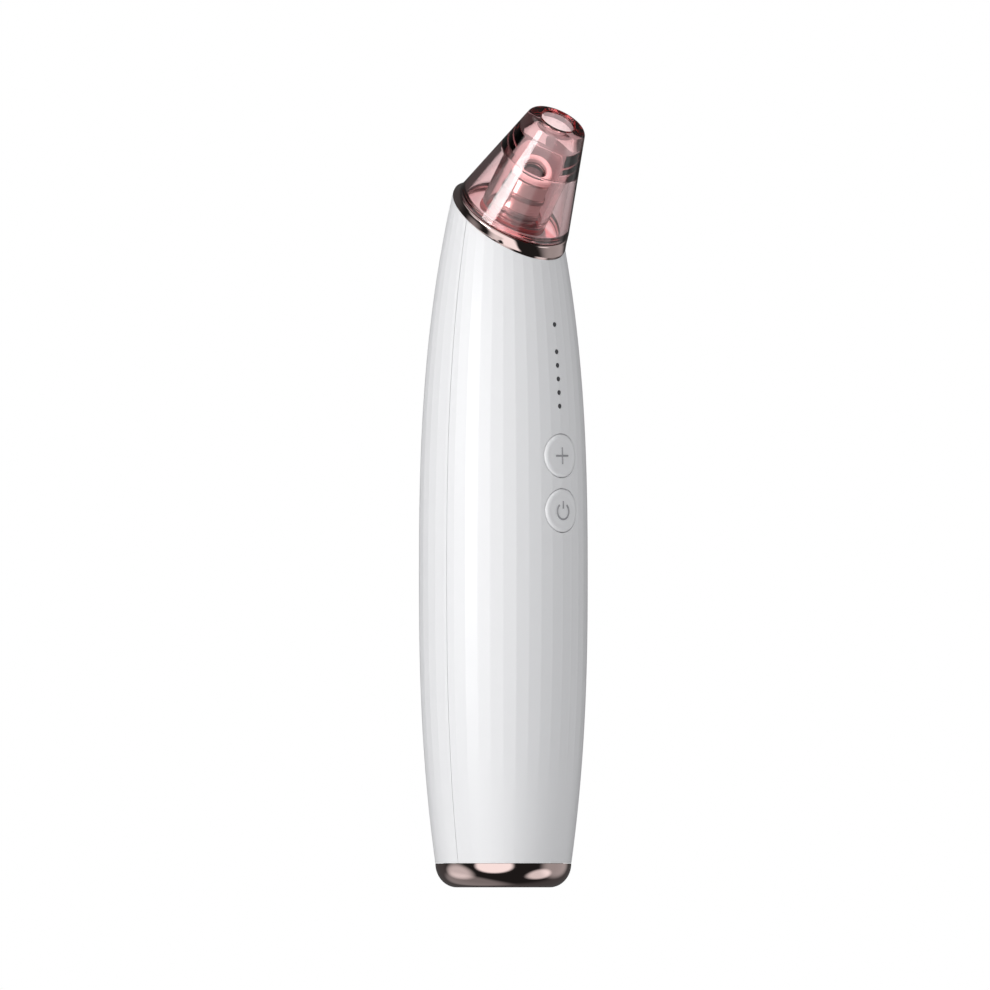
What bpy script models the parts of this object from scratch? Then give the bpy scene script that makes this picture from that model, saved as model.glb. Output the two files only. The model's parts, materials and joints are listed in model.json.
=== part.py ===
"""Handheld pore vacuum: a barrel-shaped wand with a clear suction head on a tilted collar.

The wand stands on its base cap at the origin, +Z up, with its two buttons towards -Y.
Inside are a lithium cell, a small motor, a three-chamber wobble-plate pump, a hose and two boards.
"""

import math

import bmesh
import bpy
from mathutils import Matrix, Vector

MM = 0.001

# ---- Clearances ------------------------------------------------------------------------------
gap = 0.3 * MM  # between pieces that rest on, or are cut round, each other
slide_gap = 0.25 * MM  # radial, round pins, screws and the button caps
merge = 0.01 * MM

# ---- Barrel ----------------------------------------------------------------------------------
belly_radius = 21.1 * MM
belly_height = 77.0 * MM
seam_height = 6.0 * MM  # where the shells meet the base cap
base_radius = 17.0 * MM
neck_radius = 13.2 * MM
lower_power = 2.4
upper_power = 2.6
facets = 40  # flats moulded round the barrel
wall = 1.9 * MM
split_y = -1.0 * MM  # the plane where the two shells meet

# ---- Tilted head -----------------------------------------------------------------------------
head_tilt = math.radians(34.3)
pivot_height = 163.2 * MM  # where the head's axis crosses the barrel's
neck_above_pivot = 7.8 * MM
neck_height = pivot_height + neck_above_pivot  # where the barrel has narrowed to the neck
seat_above_pivot = 6.7 * MM  # the collar's top face, along the head's axis
collar_height = 3.0 * MM
collar_radius = 15.0 * MM
collar_lip_radius = 13.2 * MM
collar_lip_height = 1.2 * MM
deck_radius = 13.4 * MM
deck_thickness = 1.1 * MM
deck_depth = 1.5 * MM  # below the collar's top face
head_travel = 20.0 * MM

# ---- Suction head, heights above the collar's top face ----------------------------------------
head_base_radius = 14.9 * MM
head_length = 27.7 * MM
head_tip_radius = 7.5 * MM
head_round = 2.9 * MM
mouth_radius = 4.3 * MM
chamber_radius = 6.4 * MM
socket_radius = 6.95 * MM
socket_wall = 1.7 * MM
skirt_wall = 1.4 * MM
crotch_height = 15.8 * MM
shoulder_height = 10.7 * MM  # where the tube starts to narrow into the chamber
chamber_foot = 14.5 * MM

# ---- Nozzle ----------------------------------------------------------------------------------
post_top = 11.3 * MM
post_top_radius = 5.1 * MM
post_root_radius = 6.1 * MM
post_rib = 0.35 * MM
post_rib_width = 1.3 * MM
post_rib_heights = (6.9 * MM, 2.7 * MM)
post_bore_radius = 3.5 * MM
post_pocket_depth = 7.5 * MM
post_flange_radius = 9.0 * MM
post_flange_thickness = 1.3 * MM
barb_radius = 1.4 * MM
barb_length = 5.0 * MM
duct_radius = 0.8 * MM
filter_ring_height = 1.3 * MM
seal_radius = 8.7 * MM
seal_ribs = 3

# ---- Base cap --------------------------------------------------------------------------------
cap_round = 5.4 * MM  # how far the cap's lower edge turns in, over the whole of its height
cap_floor = 1.8 * MM
cap_spigot_top = 10.0 * MM
cap_spigot_wall = 1.4 * MM
port_y = 5.5 * MM
port_width = 8.2 * MM
port_depth = 3.6 * MM
usb_width = 7.5 * MM
usb_depth = 2.9 * MM
usb_wall = 0.35 * MM

# ---- Controls --------------------------------------------------------------------------------
button_radius = 5.4 * MM
button_heights = {"mode": 107.9 * MM, "power": 94.2 * MM}
button_proud = 0.35 * MM
button_travel = 0.4 * MM
button_flange_radius = 6.5 * MM
button_flange_thickness = 0.6 * MM
led_pitch = 3.4 * MM
led_count = 5
led_lowest = 120.3 * MM
led_charge_height = led_lowest + (led_count + 1) * led_pitch
pin_radius = 0.6 * MM
led_size = Vector((1.6, 0.6, 0.8)) * MM

# ---- Main board and its switches -----------------------------------------------------------------
board_front = -12.4 * MM
board_thickness = 1.0 * MM
board_width = 16.0 * MM
board_bottom = 79.0 * MM
board_top = 146.0 * MM
board_screw_x = 5.6 * MM
board_screw_inset = 2.9 * MM
switch_side = 6.0 * MM
switch_height = 3.0 * MM
plunger_radius = 1.7 * MM
plunger_length = 2.2 * MM
plunger_proud = 0.6 * MM

# ---- Pump and motor ----------------------------------------------------------------------------
pump_y = 2.0 * MM
pump_radius = 12.2 * MM
motor_radius = 12.0 * MM
motor_wall = 0.8 * MM
motor_bottom = 85.0 * MM
motor_top = 116.0 * MM
shaft_radius = 1.0 * MM
air_gap = 0.6 * MM  # between the armature and the magnets
magnet_wall = 1.7 * MM
sleeve_wall = 0.8 * MM
frame_height = 13.7 * MM
frame_wall = 1.4 * MM
crank_radius = 4.2 * MM
crank_height = 5.0 * MM
wobble_tilt = math.radians(7.0)
wobble_pivot_height = 130.3 * MM
wobble_arm = 6.3 * MM  # from the pump's axis to each diaphragm cup
wobble_thickness = 1.3 * MM
pin_wobble_radius = 0.8 * MM
cups = 3
cup_radius = 3.3 * MM
diaphragm_thickness = 1.2 * MM
valve_plate_thickness = 2.4 * MM
cover_height = 6.0 * MM
cover_wall = 1.5 * MM
pump_screw_circle = 10.2 * MM
pump_pillar_radius = 1.6 * MM
pump_screw_radius = 0.8 * MM
inlet_y = 6.5 * MM

# ---- Cell, chassis and charge board --------------------------------------------------------------
cell_y = 6.5 * MM
cell_radius = 7.1 * MM
cell_length = 50.0 * MM
cell_bottom = 17.5 * MM
tray_wall = 1.6 * MM
spine_y = 15.2 * MM
spine_thickness = 1.6 * MM
spine_width = 10.0 * MM
spine_bottom = 36.0 * MM
spine_top = 123.0 * MM
clip_wall = 1.7 * MM
clip_bridge = 6.0 * MM  # width of the rib that ties each clip to the spine
clip_height = 4.0 * MM
clip_heights = (93.0 * MM, 108.0 * MM)
chassis_screw_x = 3.0 * MM
chassis_screw_heights = (76.0 * MM, 81.0 * MM)
charge_board_height = 11.0 * MM
charge_board_radius = 12.6 * MM

hose_bore_radius = barb_radius + 0.5 * MM
hose_radius = hose_bore_radius + 0.8 * MM
wire_radius = 0.55 * MM


# ---- Scene and materials -------------------------------------------------------------------------
for old in list(bpy.data.objects):
    bpy.data.objects.remove(old)

parts = bpy.data.collections.new("pore_vacuum")
cutters = bpy.data.collections.new("cutters")
cutters.hide_render = True
for collection in (parts, cutters):
    bpy.context.scene.collection.children.link(collection)


def material(name, colour, roughness=0.4, metallic=0.0, transmission=0.0):
    made = bpy.data.materials.new(name)
    made.use_nodes = True
    shader = made.node_tree.nodes["Principled BSDF"]
    shader.inputs["Base Color"].default_value = (*colour, 1.0)
    shader.inputs["Roughness"].default_value = roughness
    shader.inputs["Metallic"].default_value = metallic
    shader.inputs["Transmission Weight"].default_value = transmission
    return made


white_abs = material("white_abs", (0.86, 0.86, 0.86), 0.25)
gunmetal_plate = material("gunmetal_plate", (0.32, 0.27, 0.25), 0.08, 1.0)
clear_red = material("clear_red", (0.80, 0.22, 0.22), 0.05, 0.0, 0.9)
silicone_red = material("silicone_red", (0.30, 0.04, 0.05), 0.4)
silicone_white = material("silicone_white", (0.85, 0.78, 0.76), 0.4)
sponge_grey = material("sponge_grey", (0.12, 0.12, 0.12), 0.9)
smoke_lens = material("smoke_lens", (0.18, 0.18, 0.19), 0.2)
black_abs = material("black_abs", (0.05, 0.05, 0.055), 0.45)
board_green = material("board_green", (0.03, 0.22, 0.10), 0.4)
steel = material("steel", (0.60, 0.60, 0.62), 0.3, 1.0)
copper = material("copper", (0.70, 0.36, 0.20), 0.35, 1.0)
magnet_grey = material("magnet_grey", (0.10, 0.10, 0.11), 0.6)
rubber_black = material("rubber_black", (0.04, 0.04, 0.04), 0.7)
nylon_natural = material("nylon_natural", (0.75, 0.74, 0.70), 0.4)
cell_blue = material("cell_blue", (0.05, 0.16, 0.45), 0.35)
hose_clear = material("hose_clear", (0.75, 0.77, 0.78), 0.3)
wire_red = material("wire_red", (0.60, 0.04, 0.03), 0.4)
wire_black = material("wire_black", (0.03, 0.03, 0.03), 0.4)


# ---- Tools -----------------------------------------------------------------------------------------
def place(obj, where=(0, 0, 0), parent=None, hidden=False):
    """Links an object, as a part or as a cutter, at a place in its parent's frame."""
    (cutters if hidden else parts).objects.link(obj)
    obj.location = where
    obj.parent = parent
    if hidden:
        obj.hide_render = True
        obj.display_type = "WIRE"
    return obj


def new_mesh(name, coat=None):
    mesh = bpy.data.meshes.new(name)
    if coat:
        mesh.materials.append(coat)
    return mesh


def turned(name, outline, coat=None, steps=32, where=(0, 0, 0), parent=None, hidden=False, closed=True):
    """A turned piece. Its outline is (radius, height) points, down the outer side and back up the inner one.

    An outline that starts and ends on the axis isn't closed, because the turn closes it.
    """
    mesh = new_mesh(name, coat)
    shape = bmesh.new()
    points = [shape.verts.new((radius, 0, height)) for radius, height in outline]
    pairs = list(zip(points, points[1:]))
    if closed:
        pairs.append((points[-1], points[0]))
    for pair in pairs:
        shape.edges.new(pair)
    shape.to_mesh(mesh)
    shape.free()
    obj = place(bpy.data.objects.new(name, mesh), where, parent, hidden)
    screw = obj.modifiers.new("turn", "SCREW")
    screw.steps = screw.render_steps = steps
    screw.use_merge_vertices = True
    screw.merge_threshold = merge
    screw.use_smooth_shade = not hidden
    return obj


def rod(name, radius, low, high, coat=None, steps=16, where=(0, 0, 0), parent=None, hidden=False):
    """A plain cylinder along its own Z, from one height to another."""
    outline = [(0, high), (radius, high), (radius, low), (0, low)]
    return turned(name, outline, coat, steps, where, parent, hidden, closed=False)


def tube(name, outer, inner, low, high, coat=None, steps=24, where=(0, 0, 0), parent=None, hidden=False):
    outline = [(outer, high), (outer, low), (inner, low), (inner, high)]
    return turned(name, outline, coat, steps, where, parent, hidden)


def block(name, low, high, coat=None, parent=None, hidden=False, bevel=0.0):
    """A box between two corners, with its edges rounded by bevel."""
    low, high = Vector(low), Vector(high)
    mesh = new_mesh(name, coat)
    shape = bmesh.new()
    bmesh.ops.create_cube(shape, size=1.0)
    bmesh.ops.scale(shape, vec=high - low, verts=shape.verts)
    shape.to_mesh(mesh)
    shape.free()
    obj = place(bpy.data.objects.new(name, mesh), (low + high) / 2, parent, hidden)
    if bevel:
        rounding = obj.modifiers.new("round", "BEVEL")
        rounding.width = bevel
        rounding.segments = 1
    return obj


def boolean(obj, other, operation="DIFFERENCE"):
    modifier = obj.modifiers.new(operation.lower() + "_" + other.name, "BOOLEAN")
    modifier.operation = operation
    modifier.object = other
    return obj


def facing(obj, direction):
    """Turns an object so that its own +Z points along a direction."""
    obj.rotation_mode = "QUATERNION"
    obj.rotation_quaternion = Vector(direction).to_track_quat("Z", "Y")
    return obj


def barrel_radius(height):
    """The barrel's outer radius: a power curve down to the base and another up to the neck."""
    if height < belly_height:
        share = (belly_height - height) / (belly_height - seam_height)
        return belly_radius - (belly_radius - base_radius) * share**lower_power
    share = (height - belly_height) / (neck_height - belly_height)
    return belly_radius - (belly_radius - neck_radius) * share**upper_power


def smooth_route(points, spacing):
    """Points along a Catmull-Rom curve through the route's own points, about one spacing apart."""
    route = [Vector(p) * MM for p in points]
    ends = [2 * route[0] - route[1], *route, 2 * route[-1] - route[-2]]
    made = []
    for a, b, c, d in zip(ends, ends[1:], ends[2:], ends[3:]):
        count = max(1, round((c - b).length / spacing))
        for step in range(count):
            t = step / count
            made.append(0.5 * (2 * b + (c - a) * t + (2 * a - 5 * b + 4 * c - d) * t**2
                               + (3 * b - a - 3 * c + d) * t**3))
    return made + [route[-1]]


def wire(name, points, radius, coat, spacing, bevel_rings=1):
    """A round lead or tube along a smooth route, whose points are in millimetres."""
    route = smooth_route(points, spacing)
    curve = bpy.data.curves.new(name, "CURVE")
    curve.dimensions = "3D"
    curve.bevel_depth = radius
    curve.bevel_resolution = bevel_rings
    curve.use_fill_caps = True
    curve.materials.append(coat)
    spline = curve.splines.new("POLY")
    spline.points.add(len(route) - 1)
    for point, place_of in zip(spline.points, route):
        point.co = (*place_of, 1)
    return place(bpy.data.objects.new(name, curve))


# ---- Axes: the tilted head and the pump's motor ------------------------------------------------------
head_axis = place(bpy.data.objects.new("head_axis", None), (0, 0, pivot_height))
head_axis.rotation_euler.x = head_tilt
seat = place(bpy.data.objects.new("seat", None), (0, 0, seat_above_pivot), head_axis)
pump_axis = place(bpy.data.objects.new("pump_axis", None), (0, pump_y, 0))
wobble_axis = place(bpy.data.objects.new("wobble_axis", None), (0, pump_y, wobble_pivot_height))
wobble_axis.rotation_euler.x = wobble_tilt

reach = 60 * MM  # longer than any wall that a cutter passes through


# ---- Barrel shells -------------------------------------------------------------------------------------
def barrel_skin(name):
    """The whole barrel as an open faceted skin, thickened inwards to the wall."""
    rows = 9
    top = neck_height + 8 * MM
    low = seam_height + gap
    heights = [top + (low - top) * row / rows for row in range(rows + 1)]
    outline = [(barrel_radius(height), height) for height in heights]
    skin = turned(name, outline, white_abs, facets, closed=False)
    solid = skin.modifiers.new("wall", "SOLIDIFY")
    solid.thickness = wall
    solid.offset = -1
    solid.use_even_offset = True
    return skin


def seam_cutter(name, low_y, high_y):
    return block(name, (-reach, low_y, -reach), (reach, high_y, 4 * reach), hidden=True)


shell_top = block("shell_top_cutter", (-reach, -reach, -collar_height - gap / 2), (reach, reach, reach),
                  parent=seat, hidden=True)

front_shell = barrel_skin("front_shell")
boolean(front_shell, shell_top)
boolean(front_shell, seam_cutter("rear_half_cutter", split_y - gap / 2, reach))

rear_shell = barrel_skin("rear_shell")
boolean(rear_shell, shell_top)
boolean(rear_shell, seam_cutter("front_half_cutter", -reach, split_y + gap / 2))


def across(name, radius, low_y, high_y, x, z, steps=16, hidden=True, coat=None):
    """A cylinder along Y between two depths."""
    made = rod(name, radius, low_y, high_y, coat, steps, (x, 0, z), hidden=hidden)
    return facing(made, (0, 1, 0))


def into_wall(height, x=0.0):
    """A depth inside the wall's thickness, on the +Y side, where a boss can fuse with it."""
    return math.sqrt((barrel_radius(height) - wall / 2) ** 2 - x**2)


board_back = board_front + board_thickness
board_screws = [(-board_screw_x, board_top - board_screw_inset),
                (board_screw_x, board_bottom + board_screw_inset)]
board_screw_radius = 0.8 * MM
board_screw_length = 3.2 * MM
board_boss_radius = 1.9 * MM
for number, (x, z) in enumerate(board_screws, 1):
    boss_end = board_front - gap
    boss = across(f"board_boss_{number}", board_boss_radius, -into_wall(z, abs(x)), boss_end, x, z, 12)
    boolean(front_shell, boss, "UNION")
for number, (x, z) in enumerate(board_screws, 1):
    pilot = across(f"board_pilot_{number}", board_screw_radius + slide_gap,
                   board_front - board_screw_length + board_thickness - gap, 0, x, z, 10)
    boolean(front_shell, pilot)

for button, z in button_heights.items():
    hole = across(f"{button}_hole", button_radius + slide_gap, -reach, -reach / 5, 0, z, 24)
    boolean(front_shell, hole)

led_heights = [led_lowest + led_pitch * n for n in range(led_count)] + [led_charge_height]
for number, z in enumerate(led_heights, 1):
    hole = across(f"led_hole_{number}", pin_radius + slide_gap / 2, -reach, -reach / 5, 0, z, 10)
    boolean(front_shell, hole)

chassis_screw_radius = 0.9 * MM
chassis_boss_radius = 2.0 * MM
chassis_screws = [(-chassis_screw_x, chassis_screw_heights[0]), (chassis_screw_x, chassis_screw_heights[1]),
                  (0, spine_bottom + 3 * MM)]
spine_back = spine_y + spine_thickness
for number, (x, z) in enumerate(chassis_screws, 1):
    boss = across(f"chassis_boss_{number}", chassis_boss_radius, spine_back + gap, into_wall(z, abs(x)), x,
                  z,
                  12)
    boolean(rear_shell, boss, "UNION")
for number, (x, z) in enumerate(chassis_screws, 1):
    pilot = across(f"chassis_pilot_{number}", chassis_screw_radius + slide_gap / 2, 0,
                   barrel_radius(z) - wall * 0.6, x, z, 10)
    boolean(rear_shell, pilot)

hook_heights = (30 * MM, 80 * MM, 128 * MM)
hook_width = 5.0 * MM
hook_wall = 1.2 * MM
hook_length = 3.0 * MM
for number, z in enumerate(hook_heights, 1):
    inner = barrel_radius(z) - wall
    # The barrel narrows over the hook's width, so its face clears the narrower edge.
    narrow = min(barrel_radius(z - hook_width / 2), barrel_radius(z + hook_width / 2)) - wall
    face = math.sqrt(narrow**2 - (split_y - hook_length) ** 2) - gap
    for side, sign in (("left", -1), ("right", 1)):
        low_x, high_x = sorted((sign * (face - hook_wall), sign * face))
        tongue = block(f"hook_{side}_{number}", (low_x, split_y - hook_length, z - hook_width / 2),
                       (high_x, split_y + 2 * hook_length, z + hook_width / 2), hidden=True)
        low_x, high_x = sorted((sign * (face - hook_wall), sign * (inner + wall / 2)))
        foot = block(f"hook_foot_{side}_{number}", (low_x, split_y + gap, z - hook_width / 2),
                     (high_x, split_y + hook_length, z + hook_width / 2), hidden=True)
        boolean(rear_shell, tongue, "UNION")
        boolean(rear_shell, foot, "UNION")


# ---- Collar ring: a loft from the barrel's tilted cut up to the round seat -----------------------------
def barrel_cut(height_in_head, swell=0.0):
    """The barrel's outline, in the head's frame, where a plane across the head's axis cuts it."""
    outline = []
    for step in range(facets):
        angle = math.tau * step / facets
        z = pivot_height
        for _ in range(40):
            radius = barrel_radius(z) + swell
            y = radius * math.sin(angle)
            z = pivot_height + (height_in_head + y * math.sin(head_tilt)) / math.cos(head_tilt)
        along = y * math.cos(head_tilt) + (z - pivot_height) * math.sin(head_tilt)
        outline.append(Vector((radius * math.cos(angle), along, height_in_head)))
    return outline


def ring_at(radius, height):
    return [Vector((radius * math.cos(math.tau * step / facets), radius * math.sin(math.tau * step / facets),
                    height)) for step in range(facets)]


def lofted(name, rings, coat, parent):
    """A closed skin through rings of points, the last joined to the first."""
    mesh = new_mesh(name, coat)
    shape = bmesh.new()
    loops = [[shape.verts.new(point) for point in ring] for ring in rings]
    for lower, upper in zip(loops, loops[1:] + loops[:1]):
        for step in range(len(lower)):
            after = (step + 1) % len(lower)
            shape.faces.new((lower[step], lower[after], upper[after], upper[step]))
    bmesh.ops.recalc_face_normals(shape, faces=shape.faces)
    shape.to_mesh(mesh)
    shape.free()
    return place(bpy.data.objects.new(name, mesh), parent=parent)


collar_low = seat_above_pivot - collar_height + gap / 2
collar_edge = 0.5 * MM
cut = barrel_cut(collar_low)
collar_foot = 0.6 * MM  # height of the slope that turns in under the band
band_low = []  # the band's lower edge: as wide as the seat, or as the barrel where that is wider
for point in cut:
    outward = Vector((point.x, point.y, 0))
    band_low.append(outward.normalized() * max(outward.length, collar_radius)
                    + Vector((0, 0, collar_low + collar_foot)))
collar_ring = lofted("collar_ring", [
    cut,
    band_low,
    ring_at(collar_radius, seat_above_pivot - collar_edge),
    ring_at(collar_radius - collar_edge, seat_above_pivot),
    ring_at(collar_lip_radius, seat_above_pivot),
    ring_at(collar_lip_radius, seat_above_pivot - collar_lip_height),
    ring_at(deck_radius + gap, seat_above_pivot - collar_lip_height),
    ring_at(deck_radius + gap, collar_low),
], gunmetal_plate, head_axis)

deck_low = -deck_depth - deck_thickness
deck_hole = post_root_radius + gap
deck_plate = tube("deck_plate", deck_radius, deck_hole, deck_low, -deck_depth, white_abs, 24,
                  parent=seat)


# ---- Nozzle post, its seal, filter ring and filter -----------------------------------------------------
def post_radius(height):
    share = (post_top - height) / (post_top + deck_depth)
    return post_top_radius + (post_root_radius - post_top_radius) * share


post_outline = [(post_top_radius, post_top)]
for rib in post_rib_heights:
    for height, out in ((rib + post_rib_width / 2, 0), (rib + post_rib_width / 2, post_rib),
                        (rib - post_rib_width / 2, post_rib), (rib - post_rib_width / 2, 0)):
        post_outline.append((post_radius(height) + out, height))
flange_top = deck_low - gap
flange_low = flange_top - post_flange_thickness
barb_low = flange_low - barb_length
pocket_low = post_top - post_pocket_depth
post_outline += [
    (post_root_radius, -deck_depth), (post_root_radius, flange_top), (post_flange_radius, flange_top),
    (post_flange_radius, flange_low), (barb_radius, flange_low), (barb_radius, barb_low),
    (duct_radius, barb_low), (duct_radius, pocket_low), (post_bore_radius, pocket_low),
    (post_bore_radius, post_top),
]
nozzle_post = turned("nozzle_post", post_outline, gunmetal_plate, 20, parent=seat)

ring_low = post_top + gap
filter_ring = turned("filter_ring", [
    (post_top_radius - 0.4 * MM, ring_low + filter_ring_height),
    (post_top_radius + 0.1 * MM, ring_low + 0.8 * MM),
    (post_top_radius + 0.1 * MM, ring_low), (post_bore_radius - 0.1 * MM, ring_low),
    (post_bore_radius - 0.1 * MM, ring_low + filter_ring_height - 0.4 * MM),
    (post_bore_radius + 0.4 * MM, ring_low + filter_ring_height),
], silicone_white, 24, parent=seat)

filter_sponge = rod("filter_sponge", post_bore_radius - gap, pocket_low + gap, post_top - gap, sponge_grey,
                    16,
                    parent=seat)

seal_low = -deck_depth + gap
seal_top = gap
seal_pitch = (seal_top - seal_low) / seal_ribs
seal_groove = 0.6 * MM
seal_outline = [(seal_radius - seal_groove, seal_top)]
for rib in range(seal_ribs):
    crest = seal_top - seal_pitch * (rib + 0.5)
    seal_outline += [(seal_radius, crest + seal_pitch * 0.25), (seal_radius, crest - seal_pitch * 0.25),
                     (seal_radius - seal_groove, crest - seal_pitch * 0.5)]
seal_outline += [(deck_hole + 0.1 * MM, seal_low), (deck_hole + 0.1 * MM, seal_top)]
head_seal = turned("head_seal", seal_outline, silicone_red, 18, parent=seat)


# ---- Suction head --------------------------------------------------------------------------------------
def cone_radius(height):
    return head_base_radius + (head_tip_radius - head_base_radius) * height / head_length


def tip_round(steps=3):
    """The rounded rim between the cone and the mouth, as an arc."""
    centre_h = head_length - head_round
    centre_r = cone_radius(centre_h) - head_round
    return [(centre_r + head_round * math.sin(math.pi / 2 * step / steps),
             centre_h + head_round * math.cos(math.pi / 2 * step / steps)) for step in range(steps + 1)]


mouth_land = 0.4 * MM  # round of the mouth's edge
socket_out = socket_radius + socket_wall
head_outline = [(mouth_radius + mouth_land, head_length)]
head_outline += tip_round()
head_outline += [
    (head_base_radius, gap),
    (collar_lip_radius - gap, gap),
    (collar_lip_radius - gap, -collar_lip_height * 0.55),
    (collar_lip_radius - gap - 1.0 * MM, -collar_lip_height * 0.55),
    (head_base_radius - skirt_wall - 0.2 * MM, 1.6 * MM),
    (cone_radius(crotch_height) - skirt_wall, crotch_height - 0.6 * MM),
    (cone_radius(crotch_height) - skirt_wall - 0.4 * MM, crotch_height),
    (socket_out - 0.1 * MM, crotch_height - 0.6 * MM),
    (socket_out + 0.1 * MM, 2 * gap),
    (socket_radius, 2 * gap),
    (socket_radius, shoulder_height),
    (chamber_radius, chamber_foot),
    (chamber_radius, head_length * 0.80),
    (mouth_radius, head_length * 0.91),
    (mouth_radius, head_length - mouth_land),
]
suction_head = turned("suction_head", head_outline, clear_red, 24, parent=seat)


# ---- Base cap -----------------------------------------------------------------------------------------
cap_steps = 5
spigot_radius = barrel_radius(seam_height) - wall - 2 * gap
spigot_bore = spigot_radius - cap_spigot_wall
cap_outline = [
    (0, cap_floor), (spigot_bore - 2 * MM, cap_floor), (spigot_bore, cap_floor + 3 * MM),
    (spigot_bore, cap_spigot_top), (spigot_radius, cap_spigot_top), (spigot_radius, seam_height),
]
for step in range(cap_steps + 1):
    angle = math.pi / 2 * step / cap_steps
    cap_outline.append((base_radius - cap_round * (1 - math.cos(angle)),
                        seam_height * (1 - math.sin(angle))))
cap_outline.append((0, 0))
base_cap = turned("base_cap", cap_outline, gunmetal_plate, 28, closed=False)
port_cutter = block("port_cutter", (-port_width / 2, port_y - port_depth / 2, -reach),
                    (port_width / 2, port_y + port_depth / 2, cap_floor + 5 * MM), hidden=True,
                    bevel=0.4 * MM)
charge_posts = [(-9.0 * MM, -3.0 * MM), (9.0 * MM, -3.0 * MM)]
charge_screw_radius = 0.8 * MM
for number, (x, y) in enumerate(charge_posts, 1):
    post = rod(f"charge_post_{number}", 1.9 * MM, cap_floor / 2, charge_board_height - gap, None, 12,
               (x, y, 0),
               hidden=True)
    boolean(base_cap, post, "UNION")
for number, (x, y) in enumerate(charge_posts, 1):
    pilot = rod(f"charge_pilot_{number}", charge_screw_radius + slide_gap, charge_board_height - 5 * MM,
                charge_board_height + 1 * MM, None, 10, (x, y, 0), hidden=True)
    boolean(base_cap, pilot)
boolean(base_cap, port_cutter)


# ---- Screws -------------------------------------------------------------------------------------------
def screw_of(name, shank, length, head, head_height, where, direction):
    """A pan-head screw whose head's underside is at where, and whose shank runs along direction."""
    outline = [(0, length), (shank * 0.4, length), (shank, length - shank), (shank, 0), (head, 0),
               (head, -head_height * 0.6), (head * 0.7, -head_height), (0, -head_height)]
    made = turned(name, outline, steel, 8, where, closed=False)
    slot_depth = head_height * 0.5
    slot = block(f"{name}_slot", (-head, -shank * 0.2, -head_height - 1 * MM),
                 (head, shank * 0.2, -head_height + slot_depth), hidden=True)
    slot.parent = made
    boolean(made, slot)
    return facing(made, direction)


board_screw_head = 1.6 * MM
for number, (x, z) in enumerate(board_screws, 1):
    screw_of(f"board_screw_{number}", board_screw_radius, board_screw_length, board_screw_head, 1.0 * MM,
             (x, board_back + gap, z), (0, -1, 0))
for number, (x, z) in enumerate(chassis_screws, 1):
    screw_of(f"chassis_screw_{number}", chassis_screw_radius, spine_thickness + gap + 1.2 * MM, 1.7 * MM,
             1.1 * MM,
             (x, spine_y - gap, z), (0, 1, 0))


# ---- Buttons and their switches ---------------------------------------------------------------------
switch_front = board_front - gap - switch_height
plunger_tip = switch_front - plunger_proud
skin_low = button_heights["power"] - 2 * button_radius
skin_high = button_heights["mode"] + 2 * button_radius
skin_rows = 6
skin_heights = [skin_high + (skin_low - skin_high) * row / skin_rows for row in range(skin_rows + 1)]
skin_outline = [(barrel_radius(height) + button_proud, height) for height in skin_heights]
button_skin = turned("button_skin", [(0, skin_high), *skin_outline, (0, skin_low)], None, 2 * facets,
                     hidden=True, closed=False)
stem_end = plunger_tip - gap
for button, z in button_heights.items():
    face = -(barrel_radius(z) + 3 * button_proud)
    # The cap's face follows the barrel, so it is turned too tall and trimmed by a swollen copy of it.
    # The flange lies just inside the curved wall, clear of it at its own edge.
    bore = barrel_radius(z + button_flange_radius) - wall
    flange_front = -math.sqrt(bore**2 - button_flange_radius**2) + gap
    flange_back = flange_front + button_flange_thickness
    outline = [(0, face), (button_radius, face), (button_radius, flange_front),
               (button_flange_radius, flange_front),
               (button_flange_radius, flange_back), (plunger_radius, flange_back),
               (plunger_radius, stem_end),
               (0, stem_end)]
    cap = turned(f"button_{button}", outline[::-1], white_abs, 20, (0, 0, z), closed=False)
    facing(cap, (0, 1, 0))
    boolean(cap, button_skin, "INTERSECT")

    body = block(f"switch_{button}", (-switch_side / 2, switch_front, z - switch_side / 2),
                 (switch_side / 2, board_front - gap, z + switch_side / 2), black_abs, bevel=0.3 * MM)
    well = across(f"{button}_switch_well", plunger_radius + slide_gap, switch_front - 5 * MM,
                  switch_front + plunger_length - plunger_proud + button_travel + gap, 0, z, 12)
    boolean(body, well)
    plunger = across(f"plunger_{button}", plunger_radius, plunger_tip, plunger_tip + plunger_length, 0, z,
                     12,
                     hidden=False, coat=nylon_natural)


# ---- Light pipe, lamps and main board ----------------------------------------------------------------
lamp_back = board_front - gap
lamp_front = lamp_back - led_size.y
pipe_back = lamp_front - gap
pipe_front = pipe_back - 1.2 * MM
light_pipe = block("light_pipe", (-1.3 * MM, pipe_front, led_heights[0] - 1.5 * MM),
                   (1.3 * MM, pipe_back, led_heights[-1] + 1.5 * MM), smoke_lens)
pin_sunk = 0.15 * MM
for number, z in enumerate(led_heights, 1):
    pin = across(f"pin_{number}", pin_radius, -(barrel_radius(z) - pin_sunk), (pipe_front + pipe_back) / 2,
                 0, z, 10)
    boolean(light_pipe, pin, "UNION")
    half = led_size / 2
    block(f"led_{number}", (-half.x, lamp_front, z - half.z), (half.x, lamp_back, z + half.z), nylon_natural)

main_board = block("main_board", (-board_width / 2, board_front, board_bottom),
                   (board_width / 2, board_back, board_top),
                   board_green)
for number, (x, z) in enumerate(board_screws, 1):
    hole = across(f"board_hole_{number}", board_screw_radius + slide_gap, -reach, reach, x, z, 10)
    boolean(main_board, hole)


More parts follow.
